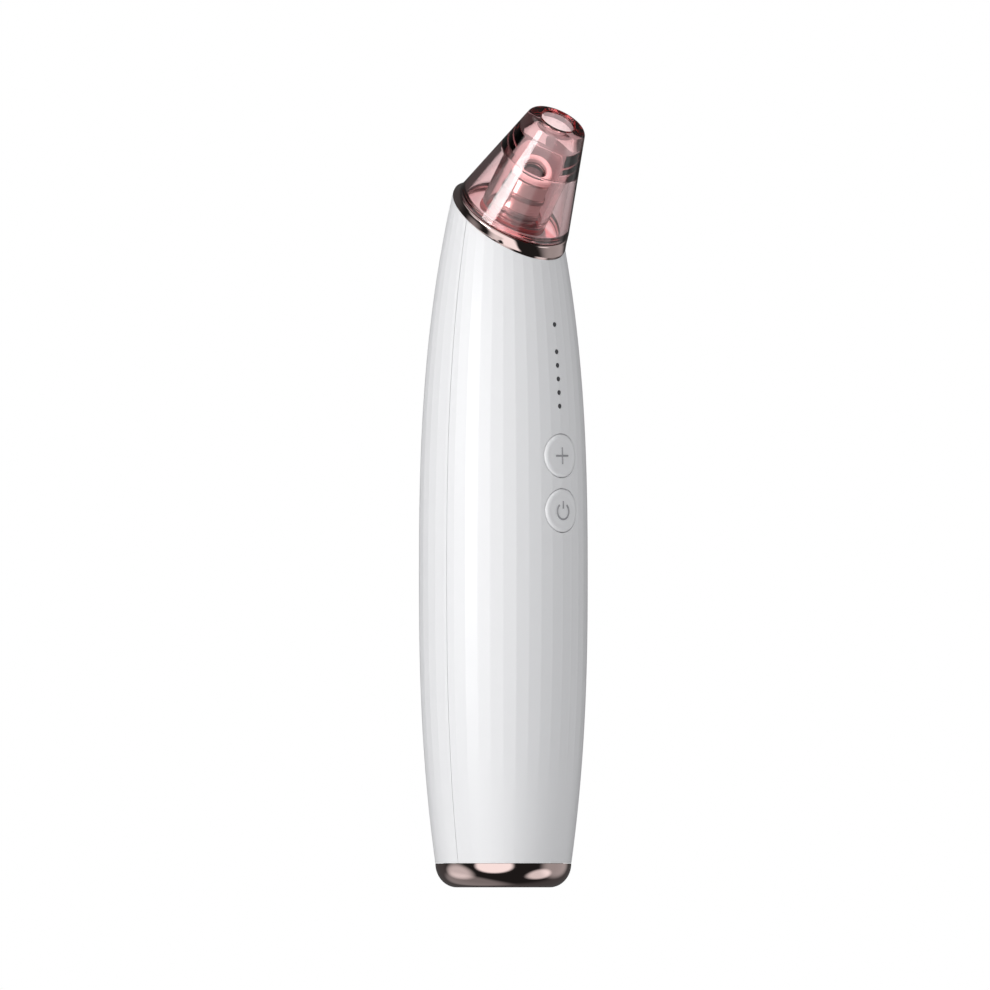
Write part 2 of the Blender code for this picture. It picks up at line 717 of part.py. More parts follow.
# ---- Motor --------------------------------------------------------------------------------------------
can_inner = motor_radius - motor_wall
shaft_hole = shaft_radius + slide_gap
motor_can = turned("motor_can", [
    (motor_radius, motor_top), (motor_radius, motor_bottom), (can_inner, motor_bottom),
    (can_inner, motor_top - 1.0 * MM), (shaft_hole, motor_top - 1.0 * MM), (shaft_hole, motor_top),
], steel, 20, parent=pump_axis)

bell_thickness = 2.4 * MM
bell_low = motor_bottom - 0.6 * MM
end_bell = tube("motor_end_bell", can_inner - gap, shaft_hole, bell_low, bell_low + bell_thickness,
                black_abs, 20,
                parent=pump_axis)

magnet_outer = can_inner - gap
magnet_low = motor_bottom + 6 * MM
magnet_high = motor_top - 5 * MM
for name, sign in (("magnet_left", -1), ("magnet_right", 1)):
    magnet = tube(name, magnet_outer, magnet_outer - magnet_wall, magnet_low, magnet_high, magnet_grey, 20,
                  parent=pump_axis)
    low_x, high_x = sorted((sign * 5 * MM, sign * reach))
    keep = block(f"{name}_keep", (low_x, -reach, 0), (high_x, reach, 4 * reach), parent=pump_axis,
                 hidden=True)
    boolean(magnet, keep, "INTERSECT")

shaft_low = bell_low + 0.8 * MM
crank_low = motor_top + gap + 2.2 * MM
shaft_high = crank_low + crank_height * 0.4
motor_shaft = rod("motor_shaft", shaft_radius, shaft_low, shaft_high, steel, 16, parent=pump_axis)

armature_radius = magnet_outer - magnet_wall - air_gap
armature_low = magnet_low + 1 * MM
armature_high = magnet_high - 1 * MM
armature = turned("armature", [
    (3.6 * MM, armature_high + 2 * MM), (4.2 * MM, armature_high), (armature_radius, armature_high),
    (armature_radius, armature_low), (4.2 * MM, armature_low), (3.0 * MM, armature_low - 1 * MM),
    (3.0 * MM, armature_low - 3.2 * MM), (shaft_hole, armature_low - 3.2 * MM),
    (shaft_hole, armature_high + 2 * MM),
], copper, 20, parent=pump_axis)
poles = 3
for pole in range(poles):
    slot = block(f"armature_slot_{pole + 1}", (5.0 * MM, -0.8 * MM, armature_low - 1 * MM),
                 (reach, 0.8 * MM, armature_high + 1 * MM), parent=pump_axis, hidden=True)
    turn = Matrix.Rotation(math.tau * (pole + 0.5) / poles, 4, "Z")
    slot.matrix_local = turn @ Matrix.Translation(slot.location)
    boolean(armature, slot)

sleeve_low = motor_bottom + 5 * MM
sleeve_high = motor_top - 2 * MM
sleeve_inner = motor_radius + slide_gap
sleeve_outer = sleeve_inner + sleeve_wall
pump_sleeve = tube("pump_sleeve", sleeve_outer, sleeve_inner, sleeve_low, sleeve_high, rubber_black, 20,
                   parent=pump_axis)


# ---- Pump head: frame, crank, wobble plate, diaphragm, valve plate and cover ---------------------------
frame_low = motor_top + gap
frame_top = frame_low + frame_height
pump_frame = turned("pump_frame", [
    (pump_radius, frame_top), (pump_radius, frame_low), (shaft_hole + 1.5 * MM, frame_low),
    (shaft_hole + 1.5 * MM, frame_low + frame_wall), (pump_radius - frame_wall, frame_low + frame_wall),
    (pump_radius - frame_wall, frame_top),
], nylon_natural, 20, parent=pump_axis)

diaphragm_low = frame_top + gap
diaphragm_high = diaphragm_low + diaphragm_thickness
plate_low = diaphragm_high + gap
plate_high = plate_low + valve_plate_thickness
cover_low = plate_high + gap
cover_high = cover_low + cover_height


def round_pump(radius, angle):
    """A place on a circle round the pump's axis, in the pump's frame."""
    return Vector((radius * math.cos(angle), radius * math.sin(angle), 0))


screw_angles = [math.tau * (n + 0.5) / cups - math.pi / 2 for n in range(cups)]
cup_angles = [math.tau * n / cups - math.pi / 2 for n in range(cups)]
pump_screw_head = 1.5 * MM
for number, angle in enumerate(screw_angles, 1):
    spot = round_pump(pump_screw_circle, angle)
    pillar = rod(f"pillar_{number}", pump_pillar_radius, frame_low + 0.2 * MM, frame_top, None, 12, spot,
                 pump_axis, True)
    boolean(pump_frame, pillar, "UNION")
for number, angle in enumerate(screw_angles, 1):
    spot = round_pump(pump_screw_circle, angle)
    pilot = rod(f"frame_pilot_{number}", pump_screw_radius + slide_gap, frame_top - 7 * MM,
                frame_top + 5 * MM, None,
                10, spot, pump_axis, True)
    boolean(pump_frame, pilot)

crank_top = crank_low + crank_height
crank = turned("crank", [
    (0, crank_top), (crank_radius * 0.8, crank_top), (crank_radius, crank_top - 0.6 * MM),
    (crank_radius, crank_low), (shaft_hole, crank_low), (shaft_hole, shaft_high + gap),
    (0, shaft_high + gap),
], nylon_natural, 20, parent=pump_axis, closed=False)
pin_low = crank_top - 2.2 * MM - wobble_pivot_height
pin_high = -1.8 * MM
pin_well = rod("crank_pin_well", pin_wobble_radius + slide_gap, pin_low - gap, pin_high, None, 12,
               parent=wobble_axis,
               hidden=True)
boolean(crank, pin_well)
crank_pin = rod("crank_pin", pin_wobble_radius, pin_low, pin_high, steel, 12, parent=wobble_axis)

hub_low = crank_top + 1.2 * MM - wobble_pivot_height
hub_high = -1.0 * MM
arm_middle = -3.2 * MM
arm_low = arm_middle - wobble_thickness / 2
arm_high = arm_middle + wobble_thickness / 2
hub_radius = 2.4 * MM
pin_hole = pin_wobble_radius + slide_gap
wobble_plate = turned("wobble_plate", [
    (0, hub_high), (hub_radius * 0.7, hub_high), (hub_radius, hub_high - 0.6 * MM),
    (hub_radius, hub_low), (pin_hole, hub_low), (pin_hole, pin_high + gap), (0, pin_high + gap),
], nylon_natural, 20, parent=wobble_axis, closed=False)
for number, angle in enumerate(cup_angles, 1):
    arm = block(f"wobble_arm_{number}", (hub_radius * 0.6, -1.5 * MM, arm_low),
                (wobble_arm, 1.5 * MM, arm_high),
                parent=wobble_axis, hidden=True)
    arm.matrix_local = Matrix.Rotation(angle, 4, "Z") @ Matrix.Translation(arm.location)
    pad = rod(f"wobble_pad_{number}", 2.3 * MM, arm_low + 0.05 * MM, arm_high + 0.05 * MM, None, 16,
              round_pump(wobble_arm, angle), wobble_axis, True)
    boolean(wobble_plate, arm, "UNION")
    boolean(wobble_plate, pad, "UNION")

diaphragm = rod("diaphragm", pump_radius - 0.2 * MM, diaphragm_low, diaphragm_high, rubber_black, 20,
                parent=pump_axis)
for number, angle in enumerate(cup_angles, 1):
    spot = round_pump(wobble_arm, angle)
    cup = turned(f"cup_{number}", [
        (0, diaphragm_low + 0.4 * MM), (cup_radius, diaphragm_low + 0.4 * MM),
        (cup_radius, diaphragm_low - 0.3 * MM),
        (cup_radius * 0.5, diaphragm_low - 0.7 * MM), (0, diaphragm_low - 0.7 * MM),
    ], None, 12, spot, pump_axis, True, closed=False)
    bowl = rod(f"bowl_{number}", cup_radius - 0.9 * MM, diaphragm_low + 0.5 * MM, diaphragm_high + 3 * MM,
               None, 12,
               spot, pump_axis, True)
    boolean(diaphragm, cup, "UNION")
    boolean(diaphragm, bowl)

valve_plate = rod("valve_plate", pump_radius, plate_low, plate_high, nylon_natural, 20, parent=pump_axis)
valve_stem_radius = 0.9 * MM
stem_hole = rod("valve_stem_hole", valve_stem_radius + slide_gap, plate_low - 2 * MM, plate_high + 2 * MM,
                None, 12,
                parent=pump_axis, hidden=True)
boolean(valve_plate, stem_hole)
for number, angle in enumerate(cup_angles, 1):
    for letter, radius, size in (("in", wobble_arm + 1.2 * MM, 0.6 * MM), ("out", 2.9 * MM, 0.6 * MM)):
        port = rod(f"valve_port_{letter}_{number}", size, plate_low - 2 * MM, plate_high + 2 * MM, None, 6,
                   round_pump(radius, angle), pump_axis, True)
        boolean(valve_plate, port)
umbrella = 3.9 * MM
umbrella_valve = turned("umbrella_valve", [
    (0, plate_high + 1.3 * MM), (umbrella * 0.6, plate_high + 1.1 * MM),
    (umbrella, plate_high + gap + 0.3 * MM),
    (umbrella, plate_high + gap), (valve_stem_radius, plate_high + gap),
    (valve_stem_radius, plate_low + 0.5 * MM),
    (0, plate_low + 0.2 * MM),
], rubber_black, 20, parent=pump_axis, closed=False)

inlet_radius = barb_radius
inlet_top = cover_high + 5.0 * MM
inlet_spot = Vector((0, inlet_y - pump_y, 0))
pump_cover = turned("pump_cover", [
    (0, cover_high), (pump_radius - 0.8 * MM, cover_high), (pump_radius, cover_high - 0.8 * MM),
    (pump_radius, cover_low), (pump_radius - cover_wall, cover_low),
    (pump_radius - cover_wall, cover_high - cover_wall),
    (0, cover_high - cover_wall),
], nylon_natural, 20, parent=pump_axis, closed=False)
inlet = rod("inlet_barb", inlet_radius, cover_high - 0.8 * MM, inlet_top, None, 16, inlet_spot, pump_axis,
            True)
boolean(pump_cover, inlet, "UNION")
outlet_length = 3.0 * MM
outlet_height = cover_low + cover_height * 0.5
outlet = rod("outlet_barb", 1.3 * MM, pump_radius - 0.8 * MM, pump_radius + outlet_length, None, 14,
             (0, 0, outlet_height), pump_axis, True)
facing(outlet, (1, 0, 0))
boolean(pump_cover, outlet, "UNION")
for number, angle in enumerate(screw_angles, 1):
    pillar = rod(f"cover_pillar_{number}", pump_pillar_radius, cover_low, cover_high - 0.5 * MM, None, 12,
                 round_pump(pump_screw_circle, angle), pump_axis, True)
    boolean(pump_cover, pillar, "UNION")
inlet_bore = rod("inlet_bore", duct_radius, cover_high - 3 * MM, inlet_top + 2 * MM, None, 12, inlet_spot,
                 pump_axis,
                 True)
outlet_bore = rod("outlet_bore", 0.7 * MM, pump_radius - 4 * MM, pump_radius + 2 * outlet_length, None, 10,
                  (0, 0, outlet_height), pump_axis, True)
facing(outlet_bore, (1, 0, 0))
boolean(pump_cover, inlet_bore)
boolean(pump_cover, outlet_bore)

pump_screw_seat = cover_high + gap
pump_screw_length = pump_screw_seat - (frame_top - 6 * MM)
for number, angle in enumerate(screw_angles, 1):
    spot = round_pump(pump_screw_circle, angle)
    for piece, low, high in ((pump_cover, cover_low - 2 * MM, cover_high + 2 * MM),
                             (valve_plate, plate_low - 1 * MM,
                             plate_high + 1 * MM),
                             (diaphragm, diaphragm_low - 1 * MM, diaphragm_high + 1 * MM)):
        hole = rod(f"{piece.name}_screw_hole_{number}", pump_screw_radius + slide_gap, low, high, None, 8,
                   spot,
                   pump_axis, True)
        boolean(piece, hole)
    screw_of(f"pump_screw_{number}", pump_screw_radius, pump_screw_length, pump_screw_head, 1.1 * MM,
                     spot + Vector((0, pump_y, pump_screw_seat)), (0, 0, -1))


# ---- Chassis, cell and charge board --------------------------------------------------------------------
clip_inner = sleeve_outer + gap
clip_outer = clip_inner + clip_wall
chassis = block("chassis", (-spine_width / 2, spine_y, spine_bottom),
                (spine_width / 2, spine_back, spine_top),
                black_abs, bevel=0.4 * MM)
clip_mouth = 9.5 * MM  # half the opening that the pump snaps through
for number, z in enumerate(clip_heights, 1):
    clip = tube(f"clip_{number}", clip_outer, clip_inner, z, z + clip_height, None, 20, parent=pump_axis,
                hidden=True)
    mouth = block(f"clip_mouth_{number}", (-reach, -reach, z - 1 * MM),
                  (reach, -3.0 * MM, z + clip_height + 1 * MM),
                  parent=pump_axis, hidden=True)
    boolean(clip, mouth)
    boolean(chassis, clip, "UNION")
    bridge_y = (pump_y + clip_inner + clip_wall / 2, spine_y + spine_thickness / 2)
    bridge = block(f"clip_bridge_{number}", (-clip_bridge / 2, min(bridge_y), z),
                   (clip_bridge / 2, max(bridge_y), z + clip_height), hidden=True)
    boolean(chassis, bridge, "UNION")
tray_outer = cell_radius + gap + tray_wall
tray = tube("tray", tray_outer, cell_radius + gap, cell_bottom + 1 * MM, cell_bottom + cell_length - 1 * MM,
            None, 20,
            (0, cell_y, 0), hidden=True)
tray_mouth = block("tray_mouth", (-reach, -reach, -reach), (reach, cell_y - 2.5 * MM, 4 * reach),
                   hidden=True)
boolean(tray, tray_mouth)
boolean(chassis, tray, "UNION")
for number, (x, z) in enumerate(chassis_screws, 1):
    hole = across(f"chassis_hole_{number}", chassis_screw_radius + slide_gap, spine_y - 3 * MM, reach, x, z,
                  10)
    boolean(chassis, hole)
head_room = across("chassis_head_room", 2.3 * MM, cell_y + cell_radius, spine_y + 0.05 * MM, 0,
                   chassis_screws[2][1], 14)
boolean(chassis, head_room)

cell_top = cell_bottom + cell_length
battery_cell = turned("battery_cell", [
    (0, cell_top), (2.6 * MM, cell_top), (2.6 * MM, cell_top - 0.8 * MM),
    (cell_radius - 0.5 * MM, cell_top - 0.8 * MM),
    (cell_radius, cell_top - 1.3 * MM), (cell_radius, cell_bottom + 0.5 * MM),
    (cell_radius - 0.5 * MM, cell_bottom),
    (0, cell_bottom),
], cell_blue, 24, (0, cell_y, 0), closed=False)

charge_board = rod("charge_board", charge_board_radius, charge_board_height, charge_board_height + 1.0 * MM,
                   board_green, 24)
for number, (x, y) in enumerate(charge_posts, 1):
    hole = rod(f"charge_hole_{number}", charge_screw_radius + slide_gap, 0, reach, None, 10, (x, y, 0),
               hidden=True)
    boolean(charge_board, hole)
    screw_of(f"charge_screw_{number}", charge_screw_radius, 4.0 * MM, 1.5 * MM, 0.9 * MM,
             (x, y, charge_board_height + 1.0 * MM + gap), (0, 0, -1))

usb_mouth = 0.9 * MM
usb_socket = block("usb_socket", (-usb_width / 2, port_y - usb_depth / 2, usb_mouth),
                   (usb_width / 2, port_y + usb_depth / 2, charge_board_height - gap), steel,
                   bevel=0.25 * MM)
usb_hollow = block("usb_hollow", (-usb_width / 2 + usb_wall, port_y - usb_depth / 2 + usb_wall, -reach),
                   (usb_width / 2 - usb_wall, port_y + usb_depth / 2 - usb_wall, usb_mouth + 5.5 * MM),
                   hidden=True)
usb_tongue = block("usb_tongue", (-1.8 * MM, port_y + 0.05 * MM, usb_mouth + 1.0 * MM),
                   (1.8 * MM, port_y + 0.65 * MM, usb_mouth + 6.5 * MM), hidden=True)
boolean(usb_socket, usb_hollow)
boolean(usb_socket, usb_tongue, "UNION")


# ---- Hose and leads ----------------------------------------------------------------------------------
def head_point(across_axis, height):
    """A point of the seat's frame, in world millimetres."""
    along = seat_above_pivot + height
    y = across_axis * math.cos(head_tilt) - along * math.sin(head_tilt)
    z = pivot_height + across_axis * math.sin(head_tilt) + along * math.cos(head_tilt)
    return (0, y / MM, z / MM)


hose_start = head_point(0, flange_low - gap)
hose_straight = head_point(0, barb_low)
hose_half = head_point(0, (flange_low + barb_low) / 2)
hose_route = [hose_start, hose_half, hose_straight, (0, inlet_y / MM - 0.2, inlet_top / MM + 1.5),
              (0, inlet_y / MM, cover_high / MM + gap / MM)]
hose_curve = wire("hose_line", hose_route, (hose_radius + hose_bore_radius) / 2, hose_clear, 2.5 * MM, 3)
hose_curve.data.use_fill_caps = False
bpy.context.view_layer.update()
hose_mesh = bpy.data.meshes.new_from_object(hose_curve.evaluated_get(bpy.context.evaluated_depsgraph_get()))
suction_hose = place(bpy.data.objects.new("suction_hose", hose_mesh))
suction_hose.matrix_world = hose_curve.matrix_world
bpy.data.objects.remove(hose_curve)
hose_wall = suction_hose.modifiers.new("wall", "SOLIDIFY")
hose_wall.thickness = hose_radius - hose_bore_radius
hose_wall.offset = 0

lead_spacing = 4.0 * MM
board_end = (board_back + gap) / MM
bell_under = (bell_low - gap) / MM
cell_over = (cell_top + gap) / MM
cell_under = (cell_bottom - gap) / MM
charge_over = (charge_board_height + 1.0 * MM + gap) / MM
lead_routes = {
    "motor_lead_red": ([(6.5, 4.0, bell_under), (6.6, 3.2, 81.5), (5.5, -2.0, 79.5), (3.6, -7.5, 81.0),
                        (2.8, -9.6, 82.5), (2.8, board_end, 82.8)], wire_red),
    "motor_lead_black": ([(-6.5, 4.0, bell_under), (-6.6, 3.2, 81.5), (-5.5, -2.0, 79.5), (-3.6, -7.5, 81.0),
                          (-2.8, -9.6, 82.5), (-2.8, board_end, 82.8)], wire_black),
    "cell_lead_red": ([(0.8, 6.5, cell_over), (1.0, 4.5, 70.5), (1.2, -2.0, 74.5), (1.0, -7.5, 79.0),
                       (0.9, board_end, 80.4)], wire_red),
    "cell_lead_black": ([(-4.6, 3.4, cell_under - 0.9), (-6.5, -1.5, 17.0), (-6.4, -5.5, 27.0),
                         (-5.6, -6.8, 50.0),
                         (-3.0, -6.8, 68.0), (-1.2, -8.3, 78.0), (-0.9, board_end, 80.4)], wire_black),
    "charge_lead_red": ([(5.0, -7.0, charge_over), (5.6, -8.0, 17.0), (8.0, -10.0, 30.0), (8.4, -10.5, 50.0),
                         (6.0, -10.0, 68.0), (3.4, -8.6, 77.5), (3.0, board_end, 80.0)], wire_red),
    "charge_lead_black": ([(-5.0, -7.0, charge_over), (-5.6, -8.0, 17.0), (-8.0, -10.0, 30.0),
                           (-8.4, -10.5, 50.0),
                           (-6.0, -10.0, 68.0), (-3.4, -8.6, 77.5), (-3.0, board_end, 80.0)], wire_black),
}
for name, (points, coat) in lead_routes.items():
    wire(name, points, wire_radius, coat, lead_spacing)
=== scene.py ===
# %% [markdown]
# # A handheld pore vacuum, dressed for its portrait
# The wand stands on a plated base cap. Its white barrel is moulded with forty shallow flats, and a clear red
# suction head sits on a tilted, plated collar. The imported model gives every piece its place. This notebook builds
# the fine surfaces over it, one piece at a time, and then gives each one a procedural finish.

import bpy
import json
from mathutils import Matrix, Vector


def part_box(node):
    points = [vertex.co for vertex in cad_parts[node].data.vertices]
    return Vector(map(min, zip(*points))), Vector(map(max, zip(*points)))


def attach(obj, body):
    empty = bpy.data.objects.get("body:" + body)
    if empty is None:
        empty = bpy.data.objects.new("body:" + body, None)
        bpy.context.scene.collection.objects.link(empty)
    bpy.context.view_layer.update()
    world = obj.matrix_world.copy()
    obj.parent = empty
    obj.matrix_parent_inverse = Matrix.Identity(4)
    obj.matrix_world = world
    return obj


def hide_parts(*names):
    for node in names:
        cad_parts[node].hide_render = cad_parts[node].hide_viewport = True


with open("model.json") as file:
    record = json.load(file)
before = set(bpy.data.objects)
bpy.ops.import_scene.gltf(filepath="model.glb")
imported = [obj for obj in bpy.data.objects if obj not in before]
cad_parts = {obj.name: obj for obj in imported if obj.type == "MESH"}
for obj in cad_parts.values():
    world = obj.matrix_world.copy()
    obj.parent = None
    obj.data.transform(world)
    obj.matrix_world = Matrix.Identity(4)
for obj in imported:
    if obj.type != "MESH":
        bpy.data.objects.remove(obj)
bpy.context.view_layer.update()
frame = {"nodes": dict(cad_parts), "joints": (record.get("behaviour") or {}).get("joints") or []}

# %% [markdown]
# ## Units and helpers
# Everything is in metres, so sizes are written in millimetres and multiplied once. The two helpers below serve the
# later cells: one turns a hex colour into linear light, and one adds a node to a tree.

# %% Millimetres and colours
import json
import math

import bmesh
import bpy
from mathutils import Matrix, Vector

MM = 0.001


def linear(hex_code):
    """An sRGB hex colour as the linear RGBA that a colour socket takes."""
    channels = [int(hex_code[start:start + 2], 16) / 255 for start in (1, 3, 5)]
    return (*[c / 12.92 if c <= 0.04045 else ((c + 0.055) / 1.055) ** 2.4 for c in channels], 1.0)


# %% One way to add a node
def add_node(tree, kind, settings=None, inputs=None):
    """Adds a node, sets its properties, and gives each input a value or a link from another node's output."""
    made = tree.nodes.new(kind)
    for name, value in (settings or {}).items():
        setattr(made, name, value)
    for key, value in (inputs or {}).items():
        if isinstance(value, bpy.types.NodeSocket):
            tree.links.new(value, made.inputs[key])
        else:
            made.inputs[key].default_value = value
    return made


# %% [markdown]
# ## Finishes
# Each finish starts from what the real surface is. The barrel is injection-moulded ABS, polished in the tool but
# never perfectly flat. The collar, the nozzle and the base cap are plastic with a rose-tinted metal plating, which
# mirrors the studio. The suction head is polycarbonate dyed red right through, so its colour comes from how far
# light travels inside it, and not from its skin. That is why it takes a volume and not a tint.

# %% A principled material with its grain
def new_finish(name, colour, roughness, metallic=0.0, ior=1.5):
    """A material with one Principled shader, whose plain numbers are set on the shader's own sockets."""
    made = bpy.data.materials.new(name)
    made.use_nodes = True
    shader = made.node_tree.nodes["Principled BSDF"]
    shader.inputs["Base Color"].default_value = linear(colour)
    shader.inputs["Roughness"].default_value = roughness
    shader.inputs["Metallic"].default_value = metallic
    shader.inputs["IOR"].default_value = ior
    return made, made.node_tree, shader


def grain(tree, shader, size, depth, rough_low, rough_high, detail=3.0):
    """Noise of a real size: it shades the roughness between two values and raises bumps of a real depth."""
    place = add_node(tree, "ShaderNodeTexCoord")
    noise = add_node(tree, "ShaderNodeTexNoise", None,
                     {"Vector": place.outputs["Object"], "Scale": 1 / size, "Detail": detail})
    spread = add_node(tree, "ShaderNodeMapRange", None,
                      {"Value": noise.outputs["Fac"], "From Min": 0.3, "From Max": 0.7,
                       "To Min": rough_low, "To Max": rough_high})
    tree.links.new(spread.outputs["Result"], shader.inputs["Roughness"])
    if depth:
        bump = add_node(tree, "ShaderNodeBump", None,
                        {"Height": noise.outputs["Fac"], "Distance": depth, "Strength": 1.0})
        tree.links.new(bump.outputs["Normal"], shader.inputs["Normal"])
    return noise


# %% White ABS, moulded and polished
# The gloss is soft, because tool polish leaves a faint ripple a few millimetres wide.
white_abs, tree, shader = new_finish("moulded_white_abs", "#EFEFF0", 0.35, ior=1.53)
grain(tree, shader, 5.0 * MM, 0.0015 * MM, 0.32, 0.38)

# %% Rose gunmetal plating
# Vapour-deposited metal over polished plastic: nearly a mirror, warm, with a faint haze.
rose_plate, tree, shader = new_finish("rose_gunmetal_plating", "#CEBAB7", 0.06, metallic=1.0)
grain(tree, shader, 6.0 * MM, 0.0, 0.04, 0.09)

# %% Clear red polycarbonate
# Dye absorbs green and blue: 1 mm looks pink, 10 mm is red and 25 mm is nearly black. Light that is on its way to
# something inside passes straight through, a little pinker, so that what the head covers isn't left in the dark.
clear_red, tree, shader = new_finish("clear_red_polycarbonate", "#FFFDFD", 0.02, ior=1.58)
shader.inputs["Transmission Weight"].default_value = 1.0
dye = add_node(tree, "ShaderNodeVolumeAbsorption", None, {"Color": (0.87, 0.17, 0.19, 1.0), "Density": 110.0})
ending = tree.nodes["Material Output"]
tree.links.new(dye.outputs["Volume"], ending.inputs["Volume"])
ray_kind = add_node(tree, "ShaderNodeLightPath")
unseen = add_node(tree, "ShaderNodeMath", {"operation": "MAXIMUM"},
                  {0: ray_kind.outputs["Is Shadow Ray"], 1: ray_kind.outputs["Is Diffuse Ray"]})
open_pane = add_node(tree, "ShaderNodeBsdfTransparent", None, {"Color": (1.0, 0.95, 0.95, 1.0)})
pane = add_node(tree, "ShaderNodeMixShader", None,
                {0: unseen.outputs[0], 1: shader.outputs[0], 2: open_pane.outputs[0]})
tree.links.new(pane.outputs[0], ending.inputs["Surface"])

# %% Silicone rubber, red and white
# Soft rubber with a satin skin: it lets a little light in, and dust-fine grain breaks its gloss.
red_silicone, tree, shader = new_finish("red_silicone_rubber", "#8A2226", 0.38, ior=1.41)
grain(tree, shader, 0.6 * MM, 0.01 * MM, 0.32, 0.48)
white_silicone, tree, shader = new_finish("white_silicone_rubber", "#F4ECEA", 0.30, ior=1.41)
grain(tree, shader, 0.6 * MM, 0.008 * MM, 0.24, 0.38)

# %% Filter sponge
# Open-cell foam: cells about 0.45 mm wide, light on their struts and dark in the pores between them. The dark in the
# pores is painted shade.
sponge_foam, tree, shader = new_finish("open_cell_foam", "#3A3638", 0.95)
place = add_node(tree, "ShaderNodeTexCoord")
cells = add_node(tree, "ShaderNodeTexVoronoi", {"feature": "DISTANCE_TO_EDGE"},
                 {"Vector": place.outputs["Object"], "Scale": 1 / (0.45 * MM)})
strut_and_pore_shade = add_node(tree, "ShaderNodeValToRGB", None, {"Fac": cells.outputs["Distance"]})
strut_and_pore_shade.color_ramp.elements[0].color = linear("#6A6264")
strut_and_pore_shade.color_ramp.elements[1].color = linear("#1E1A1C")
strut_and_pore_shade.color_ramp.elements[1].position = 0.35
tree.links.new(strut_and_pore_shade.outputs["Color"], shader.inputs["Base Color"])
pits = add_node(tree, "ShaderNodeBump", {"invert": True},
                {"Height": cells.outputs["Distance"], "Distance": 0.15 * MM, "Strength": 0.8})
tree.links.new(pits.outputs["Normal"], shader.inputs["Normal"])

# %% Smoked lamp lenses, and the grey of the signs, which is painted shade
smoke_lens, tree, shader = new_finish("smoked_acrylic_lens", "#4A4A4D", 0.16, ior=1.49)
grain(tree, shader, 0.5 * MM, 0.0, 0.12, 0.22)
# The signs are the button's own white in low relief. Their grey is painted shade that stands in for the shadow of
# the relief.
sign_shade_grey, tree, shader = new_finish("sign_grey_painted_shade", "#9B9B9E", 0.34, ior=1.53)
grain(tree, shader, 0.8 * MM, 0.006 * MM, 0.30, 0.42)

# %% Inside: nylons, rubber, wrap, leads and foil
# Pieces that the shells hide still show when the wand is opened, so each has the grain of its own process.
plain_finishes = {
    "black_glass_filled_nylon": ("#17171A", 0.48, 0.0, 0.35, 0.02, 0.40, 0.60),
    "natural_nylon": ("#DAD7CC", 0.38, 0.0, 0.8, 0.01, 0.32, 0.46),
    "black_nitrile_rubber": ("#141414", 0.62, 0.0, 0.5, 0.015, 0.54, 0.70),
    "blue_shrink_wrap": ("#2350A8", 0.30, 0.0, 2.5, 0.02, 0.24, 0.36),
    "clear_hose_silicone": ("#D6DADB", 0.28, 0.0, 1.5, 0.01, 0.22, 0.34),
    "red_lead_insulation": ("#C0221C", 0.36, 0.0, 0.8, 0.008, 0.30, 0.44),
    "black_lead_insulation": ("#1A1A1C", 0.38, 0.0, 0.8, 0.008, 0.32, 0.46),
    "zinc_plated_steel": ("#C4C5C8", 0.26, 1.0, 0.7, 0.006, 0.18, 0.36),
    "sintered_ferrite": ("#37373A", 0.60, 0.0, 0.25, 0.02, 0.52, 0.70),
}
finishes = {}
for name, (colour, roughness, metallic, size, depth, low, high) in plain_finishes.items():
    finishes[name], tree, shader = new_finish(name, colour, roughness, metallic)
    grain(tree, shader, size * MM, depth * MM, low, high)
print("plain finishes:", ", ".join(finishes))

# %% Solder mask and enamelled copper
# The board's copper tracks lift its mask a little, in a grid about 1.2 mm apart. Motor windings lie 0.35 mm apart.
solder_mask, tree, shader = new_finish("green_solder_mask", "#14613A", 0.30)
place = add_node(tree, "ShaderNodeTexCoord")
tracks = add_node(tree, "ShaderNodeTexBrick", None,
                  {"Vector": place.outputs["Object"], "Scale": 1 / (6.0 * MM), "Mortar Size": 0.03,
                   "Color1": linear("#14613A"), "Color2": linear("#176B41"), "Mortar": linear("#2E8757")})
tree.links.new(tracks.outputs["Color"], shader.inputs["Base Color"])
copper_wire, tree, shader = new_finish("enamelled_copper", "#B96A3C", 0.34, metallic=1.0)
place = add_node(tree, "ShaderNodeTexCoord")
turns = add_node(tree, "ShaderNodeTexWave", {"bands_direction": "X"},
                 {"Vector": place.outputs["Object"], "Scale": 1 / (7.0 * MM), "Distortion": 0.4})
lift = add_node(tree, "ShaderNodeBump", None,
                {"Height": turns.outputs["Fac"], "Distance": 0.08 * MM, "Strength": 0.8})
tree.links.new(lift.outputs["Normal"], shader.inputs["Normal"])

# %% [markdown]
# ## Turned pieces
# Most of this object is round, so most of its pieces are an outline turned about an axis. An outline is a list of
# corners, and each corner carries its own fillet, because moulded edges are never sharp. The head stands on a
# tilted axis. Its tilt is read from the slide that lets it pull off, so that the looks can't drift from the model.

# %% Outlines with rounded corners
def rounded(corners, steps=5, closed=True):
    """The outline through (radius, height, fillet) corners in millimetres, with each corner eased by an arc."""
    made = []
    for index, (radius, height, fillet) in enumerate(corners):
        here = Vector((radius, height))
        to_before = Vector(corners[index - 1][:2]) - here
        to_after = Vector(corners[(index + 1) % len(corners)][:2]) - here
        at_end = not closed and index in (0, len(corners) - 1)
        half_angle = to_before.angle(to_after) / 2
        if at_end or fillet <= 0 or half_angle > math.radians(89):
            made.append(here * MM)
            continue
        reach = min(fillet / math.tan(half_angle), to_before.length * 0.49, to_after.length * 0.49)
        bisector = (to_before.normalized() + to_after.normalized()).normalized()
        centre = here + bisector * reach / math.cos(half_angle)
        start = here + to_before.normalized() * reach - centre
        end = here + to_after.normalized() * reach - centre
        swing = start.angle(end)
        for step in range(steps + 1):
            share = step / steps
            spoke = start * math.sin((1 - share) * swing) + end * math.sin(share * swing)
            made.append((centre + spoke / math.sin(swing)) * MM)
    return made


